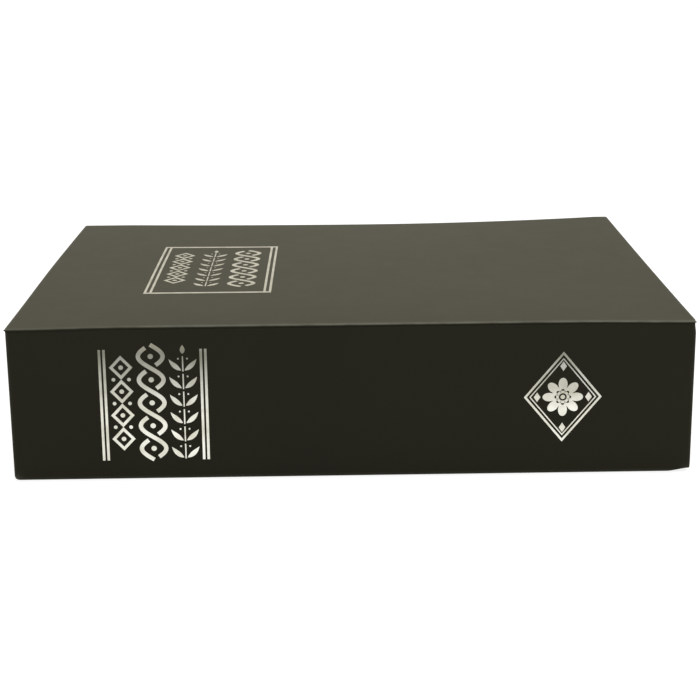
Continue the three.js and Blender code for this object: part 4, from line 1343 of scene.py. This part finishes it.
def foil_piece(name, parts, place, body, towards):
    """Foil as a sheet that looks outwards, thickened down into the covering. Its figures in (u, v) are set
    down on a face by a function that gives x, y and z."""
    points, faces = joined(*parts)
    part = facing((place(*points.T), faces), towards)
    piece(name, part, FOIL, body, outward=False, sharp=0, thickness=FOIL_HEIGHT + HAIR)


def rules(first):
    """A pair of rules across the spine."""
    return [bar(u - RULE / 2, u + RULE / 2, 7.2, 48.4, 8) for u in (first, first + RULE_PITCH)]


def make_foil():
    """Figures for the spine and for the front cover, in millimetres on each face."""
    spine = {
        "spine_rules_upper": rules(32.1), "spine_rules_lower": rules(67.4),
        "spine_lozenge_band": lozenge_band(35.3, 43.5, 10.9, 46.3, 4),
        "spine_braid_band": braid_band(44.8, 54.9, 7.3, 50.1, 5, 1.5),
        "spine_laurel_band": laurel_band(56.6, 65.4, 7.2, 49.9, 6, 0.8),
        "spine_rosette": rosette((193.9, 28.9), 13.7, 16.8),
    }
    u0, u1, v0, v1 = 42.5, 90.42, 42.15, 114.0
    inset, low, high = 2.08, v0 + RULE_PITCH, v1 - RULE_PITCH
    cover = {
        "cover_frame": [
            bar(u0, u0 + RULE, v0, v1, 24), bar(u1 - RULE, u1, v0, v1, 24),
            bar(u0 + RULE, u1 - RULE, v0, low, 16), bar(u0 + RULE, u1 - RULE, high, v1, 16),
            bar(u0 + inset, u0 + inset + RULE, low, high, 24),
            bar(u1 - inset - RULE, u1 - inset, low, high, 24),
        ],
        "cover_lozenge_band": lozenge_band(47.9, 56.6, 56.3, 103.8, 5),
        "cover_laurel_band": laurel_band(60.4, 69.3, 51.7, 107.5, 7, 0.8),
        "cover_braid_band": braid_band(72.9, 83.9, 51.2, 107.1, 6, 1.6),
    }
    for figures, *where in (
        (spine, on_spine, "case", (0, -1, 0)), (cover, on_cover, "front_cover", (0, 0, 1)),
    ):
        for name, parts in figures.items():
            foil_piece(name, parts, *where)


# Studio

WORLD_LIGHT = 0.62
FLOOR = 6.0


def seen_rays(tree):
    """1 for camera, glossy and transmission rays and 0 for all others."""
    path = add(tree, "ShaderNodeLightPath")
    seen = path.outputs["Is Camera Ray"]
    for name in ("Is Glossy Ray", "Is Transmission Ray"):
        both = {0: seen, 1: path.outputs[name]}
        seen = add(tree, "ShaderNodeMath", both, operation="MAXIMUM").outputs[0]
    return seen


def make_world():
    """White where it is seen, and a little over half as strong where it lights the object."""
    world = bpy.data.worlds.new("studio")
    bpy.context.scene.world = world
    world.use_nodes = True
    tree = world.node_tree
    ends = {0: seen_rays(tree), 1: 0.0, 2: 1.0, 3: WORLD_LIGHT, 4: 1.0}
    strength = add(tree, "ShaderNodeMapRange", ends).outputs[0]
    tree.links.new(strength, tree.nodes["Background"].inputs["Strength"])
    tree.nodes["Background"].inputs["Color"].default_value = (1, 1, 1, 1)


def make_floor():
    """A plain pale floor, painted matt: white where it is seen, with only the object's soft shadow on it."""
    result = bpy.data.materials.new("matt white floor paint")
    result.use_nodes = True
    tree = result.node_tree
    tree.nodes.remove(tree.nodes["Principled BSDF"])
    paint = add(tree, "ShaderNodeBsdfDiffuse", {"Color": linear("#f2f2f0")}).outputs[0]
    dim = add(tree, "ShaderNodeBsdfDiffuse", {"Color": (0.3, 0.3, 0.3, 1.0)}).outputs[0]
    glow = add(tree, "ShaderNodeEmission", {"Color": (1, 1, 1, 1), "Strength": 0.82}).outputs[0]
    shown = add(tree, "ShaderNodeAddShader", {0: dim, 1: glow}).outputs[0]
    both = add(tree, "ShaderNodeMixShader", {0: seen_rays(tree), 1: paint, 2: shown}).outputs[0]
    tree.links.new(both, tree.nodes["Material Output"].inputs["Surface"])
    mesh = bpy.data.meshes.new("floor")
    corners = [(-FLOOR, -FLOOR, 0), (FLOOR, -FLOOR, 0), (FLOOR, FLOOR, 0), (-FLOOR, FLOOR, 0)]
    mesh.from_pydata(corners, [], [(0, 1, 2, 3)])
    mesh.materials.append(result)
    floor = bpy.data.objects.new("floor", mesh)
    floor.location.z = -0.0002
    bpy.context.scene.collection.objects.link(floor)


def basis(way, roll=0.0):
    """Axes of a camera or lamp that looks along a way: right, up and back as columns, turned by a roll."""
    forward = np.array(way) / np.linalg.norm(way)
    right = np.cross(forward, (0, 0, 1))
    right /= np.linalg.norm(right)
    up = np.cross(right, forward)
    across = right * math.cos(roll) + up * math.sin(roll)
    above = -right * math.sin(roll) + up * math.cos(roll)
    return np.stack([across, above, -forward], 1)


def make_light():
    """A large square soft box over the book, a little towards its tail, that looks at its middle."""
    lamp = bpy.data.lights.new("overhead", "AREA")
    lamp.shape = "SQUARE"
    lamp.size = 1.4
    lamp.energy = 13.5
    item = bpy.data.objects.new("overhead", lamp)
    place = np.array([0.2, 0.05, 1.3])
    item.matrix_world = Matrix.Translation(place) @ Matrix(basis(-place)).to_4x4()
    bpy.context.scene.collection.objects.link(item)
    item.visible_camera = False


# The view of the photograph: a small camera 0.5 m off, tilted 15.5 degrees down

CAMERA_PLACE = (-6.771, -508.916, 192.217)
CAMERA_YAW = 0.835
CAMERA_PITCH = 15.515
CAMERA_ROLL = -0.461
FOCAL_PIXELS = 1310.692
PHOTO_PIXELS = 700
AXIS_PIXELS_UP = 70


def make_camera():
    """The camera at its place, turned by its yaw, pitch and roll, with its axis above the middle."""
    yaw, pitch = math.radians(CAMERA_YAW), math.radians(CAMERA_PITCH)
    way = (math.sin(yaw) * math.cos(pitch), math.cos(yaw) * math.cos(pitch), -math.sin(pitch))
    data = bpy.data.cameras.new("camera")
    data.sensor_width = 36
    data.lens = FOCAL_PIXELS / PHOTO_PIXELS * data.sensor_width
    data.shift_y = -AXIS_PIXELS_UP / PHOTO_PIXELS
    data.clip_start = 0.01
    camera = bpy.data.objects.new("camera", data)
    place = Matrix.Translation([value * MM for value in CAMERA_PLACE])
    camera.matrix_world = place @ Matrix(basis(way, math.radians(CAMERA_ROLL))).to_4x4()
    bpy.context.scene.collection.objects.link(camera)
    bpy.context.scene.camera = camera


def finish_cad_nodes():
    """The endpaper under the box stays as packed, and gets its finish."""
    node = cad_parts["back_pastedown"]
    node.data.materials.clear()
    node.data.materials.append(ENDPAPER[0])


make_case()
make_page_edges()
make_steel_box()
make_hinge()
make_lock()
make_foil()
finish_cad_nodes()
make_world()
make_floor()
make_light()
make_camera()

bpy.context.scene.view_settings.view_transform = "Standard"
